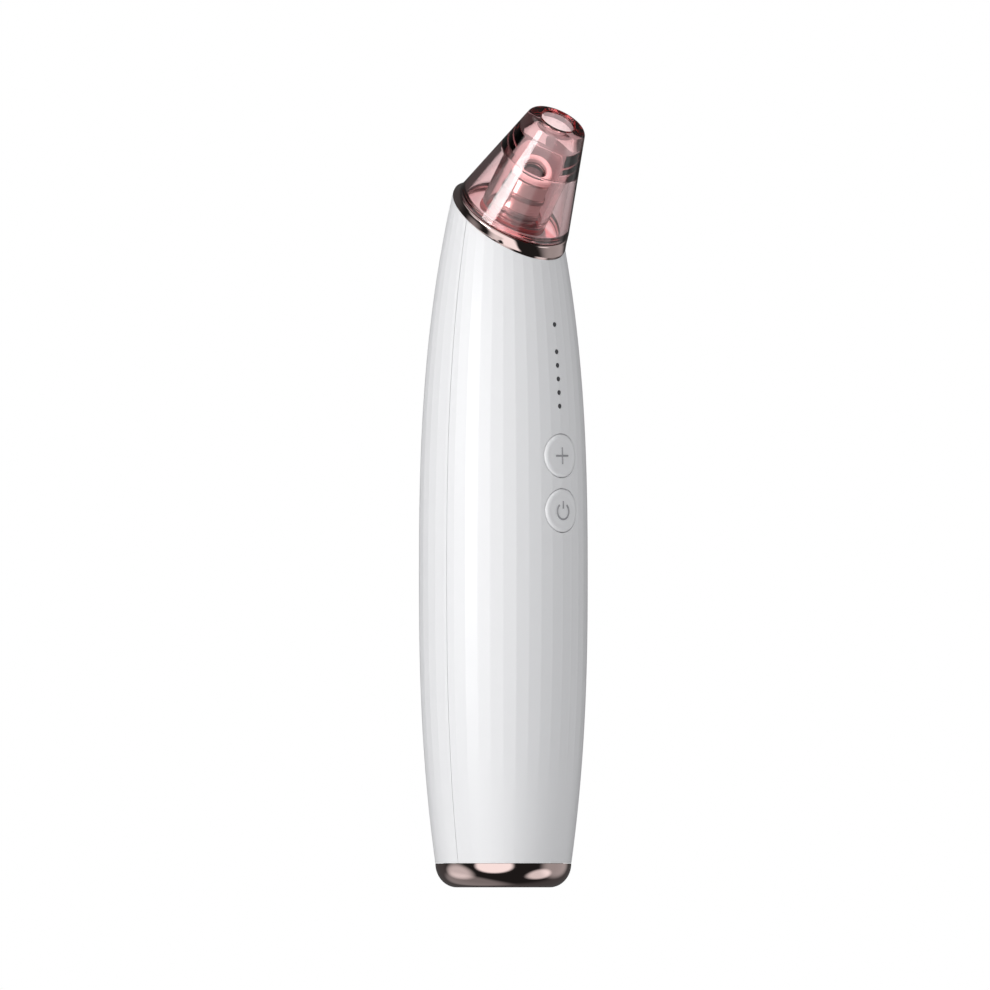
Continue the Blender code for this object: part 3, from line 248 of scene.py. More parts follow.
# %% Turning an outline, and finishing a mesh
def mesh_from(shape, name, place=None, crease=32):
    """A mesh from a bmesh: outward faces, smooth shading, edges sharper than crease degrees kept sharp."""
    bmesh.ops.remove_doubles(shape, verts=shape.verts, dist=0.0005 * MM)
    bmesh.ops.recalc_face_normals(shape, faces=shape.faces)
    mesh = bpy.data.meshes.new(name)
    shape.to_mesh(mesh)
    shape.free()
    if place:
        mesh.transform(place)
    mesh.shade_smooth()
    mesh.set_sharp_from_angle(angle=math.radians(crease))
    return mesh


def turned(name, outline, steps=128, place=None, crease=32):
    """Turns (radius, height) points about Z. Points on the axis close the shape; otherwise it is a ring."""
    shape = bmesh.new()
    rings = []
    for radius, height in outline:
        if radius < 0.001 * MM:
            rings.append([shape.verts.new((0, 0, height))])
            continue
        angles = [math.tau * step / steps for step in range(steps)]
        rings.append([shape.verts.new((radius * math.cos(a), radius * math.sin(a), height)) for a in angles])
    solid = len(rings[0]) == 1 and len(rings[-1]) == 1
    following = rings[1:] if solid else rings[1:] + rings[:1]
    for upper, lower in zip(rings, following):
        for step in range(steps):
            after = (step + 1) % steps
            corners = [upper[step % len(upper)], lower[step % len(lower)],
                       lower[after % len(lower)], upper[after % len(upper)]]
            corners = list(dict.fromkeys(corners))
            if len(corners) > 2:
                shape.faces.new(corners)
    return mesh_from(shape, name, place, crease)


# %% From mesh to finished piece
def finished(name, mesh, finish, body, slot, *nodes):
    """Puts a mesh in the scene with its finish, on its body, in place of the model's nodes."""
    mesh.materials.clear()
    mesh.materials.append(finish)
    piece = bpy.data.objects.new(name, mesh)
    bpy.context.scene.collection.objects.link(piece)
    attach(piece, body)
    if nodes:
        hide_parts(*nodes)
    print(f"{name}: {len(mesh.polygons)} faces")
    return piece


def cut(mesh, *cutters, operation="DIFFERENCE"):
    """Cuts meshes out of a mesh, or joins them to it, and returns the new mesh."""
    held = bpy.data.objects.new("held", mesh)
    bpy.context.scene.collection.objects.link(held)
    tools = []
    for cutter in cutters:
        tool = bpy.data.objects.new("tool", cutter)
        bpy.context.scene.collection.objects.link(tool)
        tools.append(tool)
        modifier = held.modifiers.new("cut", "BOOLEAN")
        modifier.object = tool
        modifier.operation = operation
    graph = bpy.context.evaluated_depsgraph_get()
    made = bpy.data.meshes.new_from_object(held.evaluated_get(graph))
    for gone in [held, *tools]:
        bpy.data.objects.remove(gone)
    return made


# %% The tilted axis of the head
pull = next(joint for joint in frame["joints"] if joint["name"] == "head_pull_off")
head_direction = Vector(pull["axis"]).normalized()
head_tilt = math.atan2(-head_direction.y, head_direction.z)
pivot = Vector((0, 0, 163.2 * MM))
seat_rise = 6.7 * MM
seat = Matrix.Translation(pivot + head_direction * seat_rise) @ Matrix.Rotation(head_tilt, 4, "X")
print(f"head tilt {math.degrees(head_tilt):.1f} degrees")

# %% [markdown]
# ## The barrel
# The barrel is the main piece, and its shape follows a rule: two power curves give the radius at each height, and
# forty flats run up it, which melt into a smooth round near the base. A rule like that suits Geometry Nodes. A
# flat grid is wrapped round the axis, and each of its points is moved to where the rule says. Each flat gets two
# extra columns close to its edges, so that smooth shading turns the corner in a fraction of a millimetre.

# %% The rule's sizes
barrel_sizes = {
    "Facets": 40,
    "Rows": 90,
    "Bottom": 6.05 * MM,
    "Top": 179.0 * MM,
    "Belly Height": 77.0 * MM,
    "Belly Radius": 21.1 * MM,
    "Seam Height": 6.0 * MM,
    "Lower Drop": 4.1 * MM,
    "Lower Power": 2.4,
    "Neck Height": 171.0 * MM,
    "Upper Drop": 7.9 * MM,
    "Upper Power": 2.6,
    "Round Below": 20.0 * MM,
    "Flat Above": 38.0 * MM,
}


def barrel_radius(height):
    """The same rule in Python, for pieces that have to follow the barrel."""
    sizes, belly = barrel_sizes, barrel_sizes["Belly Height"]
    low = max(0.0, (belly - height) / (belly - sizes["Seam Height"]))
    high = max(0.0, (height - belly) / (sizes["Neck Height"] - belly))
    return (sizes["Belly Radius"] - sizes["Lower Drop"] * low ** sizes["Lower Power"]
            - sizes["Upper Drop"] * high ** sizes["Upper Power"])


print(f"belly {2000 * barrel_radius(77 * MM):.1f} mm across, base {2000 * barrel_radius(6 * MM):.1f} mm")

# %% The tree and its inputs
def new_tree(name, **inputs):
    """A Geometry Nodes tree with one geometry output, and an input of the given kind for each name."""
    tree = bpy.data.node_groups.new(name, "GeometryNodeTree")
    for label, kind in inputs.items():
        tree.interface.new_socket(label, in_out="INPUT", socket_type=f"NodeSocket{kind}")
    tree.interface.new_socket("Geometry", in_out="OUTPUT", socket_type="NodeSocketGeometry")
    return tree


barrel_kinds = {name: "Int" if isinstance(value, int) else "Float" for name, value in barrel_sizes.items()}
barrel_tree = new_tree("faceted_barrel", **barrel_kinds, Finish="Material")
sizes = add_node(barrel_tree, "NodeGroupInput").outputs
MATH = "ShaderNodeMath"

# %% A flat grid, four columns to each flat
columns = add_node(barrel_tree, MATH, {"operation": "MULTIPLY_ADD"}, {0: sizes["Facets"], 1: 4.0, 2: 1.0})
rows = add_node(barrel_tree, MATH, {"operation": "ADD"}, {0: sizes["Rows"], 1: 1.0})
grid = add_node(barrel_tree, "GeometryNodeMeshGrid", None,
                {"Size X": 1.0, "Size Y": 1.0, "Vertices X": columns.outputs[0], "Vertices Y": rows.outputs[0]})
position = add_node(barrel_tree, "GeometryNodeInputPosition")
flat_place = add_node(barrel_tree, "ShaderNodeSeparateXYZ", None, {0: position.outputs[0]})
across = add_node(barrel_tree, MATH, {"operation": "ADD"}, {0: flat_place.outputs["X"], 1: 0.5})
along = add_node(barrel_tree, MATH, {"operation": "ADD"}, {0: flat_place.outputs["Y"], 1: 0.5})

# %% Where a column falls on its flat
# A column's place runs from 0 to 1 across its flat. The outer ones are pushed to 6% from the flat's edges.
count = add_node(barrel_tree, MATH, {"operation": "MULTIPLY"}, {0: across.outputs[0], 1: sizes["Facets"]})
flat_number = add_node(barrel_tree, MATH, {"operation": "FLOOR"}, {0: count.outputs[0]})
share = add_node(barrel_tree, MATH, {"operation": "FRACT"}, {0: count.outputs[0]})
signed = add_node(barrel_tree, MATH, {"operation": "MULTIPLY_ADD"}, {0: share.outputs[0], 1: 2.0, 2: -1.0})
away = add_node(barrel_tree, MATH, {"operation": "ABSOLUTE"}, {0: signed.outputs[0]})
inner = add_node(barrel_tree, MATH, {"operation": "MULTIPLY"}, {0: away.outputs[0], 1: 1.76})
outer = add_node(barrel_tree, MATH, {"operation": "MULTIPLY_ADD"}, {0: away.outputs[0], 1: 0.24, 2: 0.76})
pushed = add_node(barrel_tree, MATH, {"operation": "MINIMUM"}, {0: inner.outputs[0], 1: outer.outputs[0]})
side = add_node(barrel_tree, MATH, {"operation": "SIGN"}, {0: signed.outputs[0]})
offset = add_node(barrel_tree, MATH, {"operation": "MULTIPLY"}, {0: pushed.outputs[0], 1: side.outputs[0]})
half_offset = add_node(barrel_tree, MATH, {"operation": "MULTIPLY"}, {0: offset.outputs[0], 1: 0.5})

# %% The angle round the axis, starting at the front
middle = add_node(barrel_tree, MATH, {"operation": "ADD"}, {0: flat_number.outputs[0], 1: 0.5})
placed = add_node(barrel_tree, MATH, {"operation": "ADD"}, {0: middle.outputs[0], 1: half_offset.outputs[0]})
step_angle = add_node(barrel_tree, MATH, {"operation": "DIVIDE"}, {0: math.tau, 1: sizes["Facets"]})
angle = add_node(barrel_tree, MATH, {"operation": "MULTIPLY_ADD"},
                 {0: placed.outputs[0], 1: step_angle.outputs[0], 2: -math.pi / 2})

# %% The height and the round radius there
length = add_node(barrel_tree, MATH, {"operation": "SUBTRACT"}, {0: sizes["Top"], 1: sizes["Bottom"]})
height = add_node(barrel_tree, MATH, {"operation": "MULTIPLY_ADD"},
                  {0: along.outputs[0], 1: length.outputs[0], 2: sizes["Bottom"]})
lower = add_node(barrel_tree, "ShaderNodeMapRange", None,
                 {"Value": height.outputs[0], "From Min": sizes["Belly Height"], "From Max": sizes["Seam Height"]})
upper = add_node(barrel_tree, "ShaderNodeMapRange", {"clamp": False},
                 {"Value": height.outputs[0], "From Min": sizes["Belly Height"], "From Max": sizes["Neck Height"]})
upper_share = add_node(barrel_tree, MATH, {"operation": "MAXIMUM"}, {0: upper.outputs[0], 1: 0.0})
lower_curve = add_node(barrel_tree, MATH, {"operation": "POWER"}, {0: lower.outputs[0], 1: sizes["Lower Power"]})
upper_curve = add_node(barrel_tree, MATH, {"operation": "POWER"},
                       {0: upper_share.outputs[0], 1: sizes["Upper Power"]})
lower_drop = add_node(barrel_tree, MATH, {"operation": "MULTIPLY"},
                      {0: lower_curve.outputs[0], 1: sizes["Lower Drop"]})
drop = add_node(barrel_tree, MATH, {"operation": "MULTIPLY_ADD"},
                {0: upper_curve.outputs[0], 1: sizes["Upper Drop"], 2: lower_drop.outputs[0]})
round_radius = add_node(barrel_tree, MATH, {"operation": "SUBTRACT"},
                        {0: sizes["Belly Radius"], 1: drop.outputs[0]})

# %% How far the flat lies inside the round
half_step = add_node(barrel_tree, MATH, {"operation": "MULTIPLY"}, {0: step_angle.outputs[0], 1: 0.5})
edge_cosine = add_node(barrel_tree, MATH, {"operation": "COSINE"}, {0: half_step.outputs[0]})
from_middle = add_node(barrel_tree, MATH, {"operation": "MULTIPLY"},
                       {0: half_offset.outputs[0], 1: step_angle.outputs[0]})
middle_cosine = add_node(barrel_tree, MATH, {"operation": "COSINE"}, {0: from_middle.outputs[0]})
flat_share = add_node(barrel_tree, MATH, {"operation": "DIVIDE"},
                      {0: edge_cosine.outputs[0], 1: middle_cosine.outputs[0]})
melt = add_node(barrel_tree, "ShaderNodeMapRange", {"interpolation_type": "SMOOTHSTEP"},
                {"Value": height.outputs[0], "From Min": sizes["Round Below"], "From Max": sizes["Flat Above"]})
less_round = add_node(barrel_tree, MATH, {"operation": "SUBTRACT"}, {0: flat_share.outputs[0], 1: 1.0})
keep = add_node(barrel_tree, MATH, {"operation": "MULTIPLY_ADD"},
                {0: less_round.outputs[0], 1: melt.outputs[0], 2: 1.0})
radius = add_node(barrel_tree, MATH, {"operation": "MULTIPLY"}, {0: round_radius.outputs[0], 1: keep.outputs[0]})

# %% Wrap the grid and close its seam
cosine = add_node(barrel_tree, MATH, {"operation": "COSINE"}, {0: angle.outputs[0]})
sine = add_node(barrel_tree, MATH, {"operation": "SINE"}, {0: angle.outputs[0]})
east = add_node(barrel_tree, MATH, {"operation": "MULTIPLY"}, {0: radius.outputs[0], 1: cosine.outputs[0]})
north = add_node(barrel_tree, MATH, {"operation": "MULTIPLY"}, {0: radius.outputs[0], 1: sine.outputs[0]})
target = add_node(barrel_tree, "ShaderNodeCombineXYZ", None,
                  {"X": east.outputs[0], "Y": north.outputs[0], "Z": height.outputs[0]})
wrapped = add_node(barrel_tree, "GeometryNodeSetPosition", None,
                   {"Geometry": grid.outputs["Mesh"], "Position": target.outputs[0]})
welded = add_node(barrel_tree, "GeometryNodeMergeByDistance", None,
                  {"Geometry": wrapped.outputs[0], "Distance": 0.001 * MM})
plain = add_node(barrel_tree, "GeometryNodeRealizeInstances", None, {"Geometry": welded.outputs[0]})
coated = add_node(barrel_tree, "GeometryNodeSetMaterial", None,
                  {"Geometry": plain.outputs[0], "Material": sizes["Finish"]})
add_node(barrel_tree, "NodeGroupOutput", None, {0: coated.outputs[0]})
print(f"barrel tree: {len(barrel_tree.nodes)} nodes")


# %% Running a tree
def grown(name, tree, values, base=None):
    """Runs a Geometry Nodes tree on a base mesh, with its inputs set by their identifiers, as a plain mesh."""
    holder = bpy.data.objects.new(name, base or bpy.data.meshes.new(name))
    bpy.context.scene.collection.objects.link(holder)
    modifier = holder.modifiers.new("grow", "NODES")
    modifier.node_group = tree
    for item in tree.interface.items_tree:
        if item.item_type == "SOCKET" and item.in_out == "INPUT" and item.name in values:
            modifier[item.identifier] = values[item.name]
    graph = bpy.context.evaluated_depsgraph_get()
    made = bpy.data.meshes.new_from_object(holder.evaluated_get(graph))
    holder.modifiers.remove(modifier)
    bpy.data.objects.remove(holder)
    made.name = name
    return made


barrel_skin = grown("barrel_skin", barrel_tree, {**barrel_sizes, "Finish": white_abs})
print(f"barrel skin: {len(barrel_skin.polygons)} faces")

# %% [markdown]
# ## Two shells from one skin
# The skin gets its wall, and then two flat cuts: one slanted, where the collar sits, and one upright, just in
# front of the axis, where the front and rear shells meet. Splitting one body, and not modelling two, is what keeps
# the parting line as fine as it is on the moulded part.

# %% Give the skin its wall
def thickened(skin, thickness):
    """Gives an open skin a wall on its inner side, closed at both ends."""
    holder = bpy.data.objects.new("thickened", skin)
    bpy.context.scene.collection.objects.link(holder)
    solidify = holder.modifiers.new("wall", "SOLIDIFY")
    solidify.thickness = thickness
    solidify.offset = -1
    graph = bpy.context.evaluated_depsgraph_get()
    made = bpy.data.meshes.new_from_object(holder.evaluated_get(graph))
    bpy.data.objects.remove(holder)
    return made


wall = 1.9 * MM
walled = thickened(barrel_skin, wall)
print(f"walled barrel: {len(walled.polygons)} faces")


# %% Flat cuts that leave a closed body
def sliced(mesh, planes):
    """Keeps the side of each plane that its normal points away from, and caps the cut."""
    shape = bmesh.new()
    shape.from_mesh(mesh)
    for point, normal in planes:
        everything = [*shape.verts, *shape.edges, *shape.faces]
        result = bmesh.ops.bisect_plane(shape, geom=everything, dist=0.0001 * MM, plane_co=point, plane_no=normal,
                                        clear_outer=True)
        rim = [item for item in result["geom_cut"] if isinstance(item, bmesh.types.BMEdge)]
        bmesh.ops.holes_fill(shape, edges=rim, sides=0)
    return shape


split_y = -1.0 * MM
split_gap = 0.12 * MM
collar_foot = 3.7 * MM
collar_cut = (pivot + head_direction * (collar_foot - 0.03 * MM), head_direction)
front_half = mesh_from(sliced(walled, [(Vector((0, split_y - split_gap / 2, 0)), Vector((0, 1, 0))), collar_cut]),
                       "front_half", None, 25)
rear_half = mesh_from(sliced(walled, [(Vector((0, split_y + split_gap / 2, 0)), Vector((0, -1, 0))), collar_cut]),
                      "rear_half", None, 25)
print(f"front {len(front_half.polygons)} faces, rear {len(rear_half.polygons)} faces")

# %% The lap behind the parting line
# A strip inside each side of the front shell reaches past the joint, so that no light shows through it.
lap_inset = wall + 0.1 * MM
lap_reach = 1.3 * MM
lap_sizes = {key: value - lap_inset if "Radius" in key else value for key, value in barrel_sizes.items()}
lap_skin = grown("lap_skin", barrel_tree, {**lap_sizes, "Finish": white_abs})
lap = mesh_from(sliced(thickened(lap_skin, 0.7 * MM), [
    (Vector((0, split_y - lap_reach, 0)), Vector((0, -1, 0))),
    (Vector((0, split_y + lap_reach, 0)), Vector((0, 1, 0))),
    (Vector((0, 0, 11.0 * MM)), Vector((0, 0, -1))),
    (pivot + head_direction * (collar_foot - 1.0 * MM), head_direction)]), "lap", None, 25)
finished("shell_lap", lap, white_abs, "wand", "white_abs")

# %% [markdown]
# ## Holes that follow the curve
# The buttons and the lamps pierce the barrel's curved face, so the lip of each hole has to bend with it. Each
# cutter is built like a turned piece, but its depth is measured from the barrel's surface and not from a plane. The
# same function makes the button caps, which is why a cap and its hole keep one even gap all the way round.

# %% Rings that follow the barrel's face
def on_barrel(x, height, depth):
    """A point on the barrel's front, a depth inside its surface."""
    return Vector((x, depth - math.sqrt(barrel_radius(height)**2 - x**2), height))


def following(name, outline, centre_height, steps=72, crease=32):
    """A round solid on the barrel's front, from (radius, depth) points that start and end on its own axis."""
    shape = bmesh.new()
    rings = []
    for radius, depth in outline:
        if radius < 0.001 * MM:
            rings.append([shape.verts.new(on_barrel(0, centre_height, depth))])
            continue
        ring = []
        for step in range(steps):
            turn = math.tau * (step + 0.5) / steps
            ring.append(shape.verts.new(on_barrel(radius * math.cos(turn), centre_height + radius * math.sin(turn),
                                                  depth)))
        rings.append(ring)
    for upper_ring, lower_ring in zip(rings, rings[1:]):
        for step in range(steps):
            after = (step + 1) % steps
            corners = [upper_ring[step % len(upper_ring)], lower_ring[step % len(lower_ring)],
                       lower_ring[after % len(lower_ring)], upper_ring[after % len(upper_ring)]]
            corners = list(dict.fromkeys(corners))
            if len(corners) > 2:
                shape.faces.new(corners)
    return mesh_from(shape, name, None, crease)


# %% Button holes with a soft lip
button_heights = {"mode": 107.9 * MM, "power": 94.2 * MM}
button_radius = 5.4 * MM
hole_radius = 5.56 * MM
lip = 0.14 * MM
hole_outline = [(0, -1.5 * MM), (hole_radius + 1.5 * MM + lip, -1.5 * MM), (hole_radius + lip, 0),
                (hole_radius + lip * 0.3, lip * 0.3), (hole_radius, lip), (hole_radius, 2.0 * wall),
                (0, 2.0 * wall)]
hole_cutters = [following(f"{name}_hole", hole_outline, height) for name, height in button_heights.items()]

# %% Lamp holes
lamp_pitch = 3.4 * MM
lamp_heights = [120.3 * MM + lamp_pitch * number for number in (0, 1, 2, 3, 4, 6)]
lamp_radius = 0.6 * MM
lamp_outline = [(0, -0.5 * MM), (lamp_radius + 0.6 * MM, -0.5 * MM), (lamp_radius + 0.07 * MM, 0.03 * MM),
                (lamp_radius + 0.03 * MM, 0.1 * MM), (lamp_radius + 0.03 * MM, 2.0 * wall), (0, 2.0 * wall)]
hole_cutters += [following(f"lamp_hole_{number}", lamp_outline, height, 24)
                 for number, height in enumerate(lamp_heights, 1)]
front_cut = cut(front_half, *hole_cutters)
front_cut.set_sharp_from_angle(angle=math.radians(25))
finished("front_shell_fine", front_cut, white_abs, "wand", "white_abs", "front_shell")
finished("rear_shell_fine", rear_half, white_abs, "wand", "white_abs", "rear_shell")

# %% [markdown]
# ## Buttons
# Each cap is a low pad that bends with the barrel. A soft rim stands a third of a millimetre proud round its dish.
# Below it are the flange that keeps it in the shell and the stem that presses the switch. Each button carries a
# moulded sign: a plus on the upper one and a power sign on the lower one. The signs' grey is painted shade.

# %% Caps
cap_outline = [(0, -0.20 * MM), (3.4 * MM, -0.20 * MM), (3.9 * MM, -0.23 * MM), (4.3 * MM, -0.31 * MM),
               (4.6 * MM, -0.34 * MM), (4.9 * MM, -0.31 * MM), (5.15 * MM, -0.20 * MM), (5.32 * MM, -0.04 * MM),
               (button_radius, 0.18 * MM), (button_radius, 2.0 * MM),
               (6.4 * MM, 2.2 * MM), (6.4 * MM, 2.8 * MM), (1.7 * MM, 2.8 * MM), (1.7 * MM, 3.9 * MM),
               (0, 3.9 * MM)]
for name, height in button_heights.items():
    low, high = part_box(f"button_{name}")
    stem_depth = high.y + barrel_radius(height)
    outline = cap_outline[:-2] + [(1.7 * MM, stem_depth), (0, stem_depth)]
    mesh = following(f"{name}_cap", outline, height)
    finished(f"button_{name}_fine", mesh, white_abs, f"{name}_button", "white_abs", f"button_{name}")

# %% A tree that sweeps a round section along a path
# Each moulded sign is a round section along a few lines, so one tree makes them both.
sweep_tree = new_tree("round_along_path", Path="Geometry", Radius="Float", Sides="Int", Finish="Material")
given = add_node(sweep_tree, "NodeGroupInput").outputs
path = add_node(sweep_tree, "GeometryNodeMeshToCurve", None, {"Mesh": given["Path"]})
section = add_node(sweep_tree, "GeometryNodeCurvePrimitiveCircle", None,
                   {"Radius": given["Radius"], "Resolution": given["Sides"]})
swept = add_node(sweep_tree, "GeometryNodeCurveToMesh", None,
                 {"Curve": path.outputs[0], "Profile Curve": section.outputs[0], "Fill Caps": True})
solid = add_node(sweep_tree, "GeometryNodeRealizeInstances", None, {"Geometry": swept.outputs[0]})
skinned = add_node(sweep_tree, "GeometryNodeSetMaterial", None,
                   {"Geometry": solid.outputs[0], "Material": given["Finish"]})
add_node(sweep_tree, "NodeGroupOutput", None, {0: skinned.outputs[0]})


# %% Signs on the caps
def paths(name, lines):
    """A mesh of bare edges: one run for each line of points, closed where its last point is its first."""
    shape = bmesh.new()
    for line in lines:
        closed = (Vector(line[0]) - Vector(line[-1])).length < 0.001 * MM
        points = [shape.verts.new(point) for point in (line[:-1] if closed else line)]
        ends = zip(points, points[1:] + points[:1] if closed else points[1:])
        for pair in ends:
            shape.edges.new(pair)
    mesh = bpy.data.meshes.new(name)
    shape.to_mesh(mesh)
    shape.free()
    return mesh


def on_cap(points, height):
    """Flat (x, z) points in millimetres, laid on a cap's face and sunk a little into it."""
    return [on_barrel(x * MM, height + z * MM, -0.14 * MM) for x, z in points]


reach = 2.1
even = [step / 12 for step in range(13)]
plus = [[(-reach + 2 * reach * t, 0) for t in even], [(0, -reach + 2 * reach * t) for t in even]]
opening = math.radians(38)
ring = [(2.0 * math.sin(opening + (math.tau - 2 * opening) * t / 36),
         2.0 * math.cos(opening + (math.tau - 2 * opening) * t / 36) - 0.2) for t in range(37)]
power = [ring, [(0, 0.5 + 1.9 * t) for t in even]]
# Each sign is real low relief, finished in grey that is painted shade.
for name, lines in (("mode", plus), ("power", power)):
    base = paths(f"{name}_lines", [on_cap(line, button_heights[name]) for line in lines])
    mesh = grown(f"{name}_sign", sweep_tree, {"Radius": 0.24 * MM, "Sides": 12, "Finish": sign_shade_grey}, base)
    mesh.shade_smooth()
    mesh.set_sharp_from_angle(angle=math.radians(40))
    finished(f"{name}_sign", mesh, sign_shade_grey, f"{name}_button", "smoke_lens")

# %% [markdown]
# ## Lamps
# Six smoked pins of one light guide fill the row of small holes. A row of equal pins is a job for Geometry Nodes:
# one domed pin is made once and set on a point for each lamp.

# %% The pin row
pin_tree = new_tree("domed_pins", Points="Geometry", Radius="Float", Length="Float", Finish="Material")
given = add_node(pin_tree, "NodeGroupInput").outputs
shank = add_node(pin_tree, "GeometryNodeMeshCylinder", None,
                 {"Vertices": 32, "Side Segments": 1, "Radius": given["Radius"], "Depth": given["Length"]})
shank_middle = add_node(pin_tree, MATH, {"operation": "MULTIPLY"}, {0: given["Length"], 1: -0.5})
shank_shift = add_node(pin_tree, "ShaderNodeCombineXYZ", None, {"Z": shank_middle.outputs[0]})
shank_placed = add_node(pin_tree, "GeometryNodeTransform", None,
                        {"Geometry": shank.outputs["Mesh"], "Translation": shank_shift.outputs[0]})
dome = add_node(pin_tree, "GeometryNodeMeshUVSphere", None,
                {"Segments": 32, "Rings": 12, "Radius": given["Radius"]})
dome_flat = add_node(pin_tree, "GeometryNodeTransform", None,
                     {"Geometry": dome.outputs["Mesh"], "Scale": (0.99, 0.99, 0.22)})
pin_whole = add_node(pin_tree, "GeometryNodeMeshBoolean", {"operation": "UNION"})
pin_tree.links.new(shank_placed.outputs[0], pin_whole.inputs["Mesh 2"])
pin_tree.links.new(dome_flat.outputs[0], pin_whole.inputs["Mesh 2"])
turned_out = add_node(pin_tree, "GeometryNodeTransform", None,
                      {"Geometry": pin_whole.outputs[0], "Rotation": (math.pi / 2, 0.0, 0.0)})
set_out = add_node(pin_tree, "GeometryNodeInstanceOnPoints", None,
                   {"Points": given["Points"], "Instance": turned_out.outputs[0]})
real = add_node(pin_tree, "GeometryNodeRealizeInstances", None, {"Geometry": set_out.outputs[0]})
smoked = add_node(pin_tree, "GeometryNodeSetMaterial", None,
                  {"Geometry": real.outputs[0], "Material": given["Finish"]})
add_node(pin_tree, "NodeGroupOutput", None, {0: smoked.outputs[0]})

# %% Set the pins in their holes
pin_points = bpy.data.meshes.new("pin_points")
pin_points.from_pydata([on_barrel(0, height, 0.14 * MM) for height in lamp_heights], [], [])
pin_length = 3.0 * MM
pins = grown("pins", pin_tree, {"Radius": lamp_radius, "Length": pin_length, "Finish": smoke_lens}, pin_points)
pins.shade_smooth()
pins.set_sharp_from_angle(angle=math.radians(40))
finished("lamp_pins", pins, smoke_lens, "wand", "smoke_lens")

# %% [markdown]
# ## Collar
# The collar turns the barrel's tilted, slightly oval end into the round seat of the head. It joins two unlike
# sections, so it is a loft: rings of points from one section to the other, with the rings packed closer where the
# upper edge is eased.

# %% The barrel's section along the slanted cut
def slanted_section(height, steps, swell=0.0):
    """The barrel's outline in the head's own frame, where a plane this far along the head's axis cuts it."""
    points = []
    for step in range(steps):
        turn = math.tau * step / steps
        z = pivot.z
        for _ in range(40):
            reach_out = barrel_radius(z) + swell
            y = reach_out * math.sin(turn)
            z = pivot.z + (height + y * math.sin(head_tilt)) / math.cos(head_tilt)
        depth = y * math.cos(head_tilt) + (z - pivot.z) * math.sin(head_tilt)
        points.append(Vector((reach_out * math.cos(turn), depth, height)))
    return points


# %% Loft the collar
collar_steps = 160
collar_radius = 15.0 * MM
foot = slanted_section(collar_foot, collar_steps, -0.02 * MM)
rim_circle = [Vector((collar_radius * math.cos(math.tau * s / collar_steps),
                      collar_radius * math.sin(math.tau * s / collar_steps), seat_rise))
              for s in range(collar_steps)]
shape = bmesh.new()
rings = []
rings.append([shape.verts.new(spot) for spot in foot])
for rise, ease in ((0.12, 0.95), (0.22, 0.75), (0.36, 0.35), (0.48, 0.12), (0.62, 0.0), (1.2, 0.0), (1.8, 0.0)):
    ring_points = []
    taper = max(0.0, (rise - 0.62) / 1.88)
    for spot in foot:
        outward = Vector((spot.x, spot.y, 0))
        wide = max(outward.length, collar_radius - ease * MM)
        eased = wide + (collar_radius - wide) * taper
        ring_points.append(shape.verts.new(outward.normalized() * eased + Vector((0, 0, collar_foot + rise * MM))))
    rings.append(ring_points)
for drop, ease in ((0.55, 0.0), (0.36, 0.04), (0.2, 0.12), (0.08, 0.26), (0.0, 0.45)):
    shrink = (collar_radius - ease * MM) / collar_radius
    rings.append([shape.verts.new((spot.x * shrink, spot.y * shrink, seat_rise - drop * MM))
                  for spot in rim_circle])
for radius_mm, height_mm in ((13.35, 6.7), (13.2, 6.6), (13.2, 5.5), (13.7, 5.45), (13.7, 3.7)):
    circle = [shape.verts.new((radius_mm * MM * math.cos(math.tau * s / collar_steps),
                               radius_mm * MM * math.sin(math.tau * s / collar_steps), height_mm * MM))
              for s in range(collar_steps)]
    rings.append(circle)
for ring_points, next_points in zip(rings, rings[1:] + rings[:1]):
    for step in range(collar_steps):
        after = (step + 1) % collar_steps
        shape.faces.new((ring_points[step], ring_points[after], next_points[after], next_points[step]))
head_place = Matrix.Translation(pivot) @ Matrix.Rotation(head_tilt, 4, "X")
collar_mesh = mesh_from(shape, "collar", head_place, 30)
finished("collar_ring_fine", collar_mesh, rose_plate, "wand", "gunmetal_plate", "collar_ring")

# %% [markdown]
# ## Under the clear head
# A white deck closes the wand's top. The nozzle post rises through it: a plated tube with two raised bands and a
# rim ring at its mouth. A foam plug sits in its bore, and a ribbed red seal round its foot grips the head.

# %% Deck
deck_outline = rounded([(13.4, -1.5, 0.15), (13.4, -2.6, 0.15), (6.4, -2.6, 0.1), (6.4, -1.5, 0.2)])
finished("deck_plate_fine", turned("deck", deck_outline, 128, seat), white_abs, "wand", "white_abs", "deck_plate")

# %% Nozzle post
post_corners = [(3.5, 11.3, 0.25), (5.1, 11.3, 0.45), (5.35, 7.6, 0.1), (5.62, 7.5, 0.2), (5.66, 6.3, 0.2),
                (5.45, 6.2, 0.1), (5.66, 3.4, 0.1), (5.95, 3.3, 0.2), (5.98, 2.1, 0.2), (5.8, 2.0, 0.1),
                (6.0, -1.2, 0.2), (6.0, -2.9, 0.1), (9.0, -2.9, 0.2), (9.0, -4.2, 0.3), (1.4, -4.2, 0.3),
                (1.4, -8.6, 0.1), (1.15, -9.2, 0.15), (0.8, -9.2, 0.1), (0.8, 3.8, 0.1), (3.5, 3.8, 0.3)]
post_mesh = turned("post", rounded(post_corners), 128, seat)
finished("nozzle_post_fine", post_mesh, rose_plate, "wand", "gunmetal_plate", "nozzle_post")
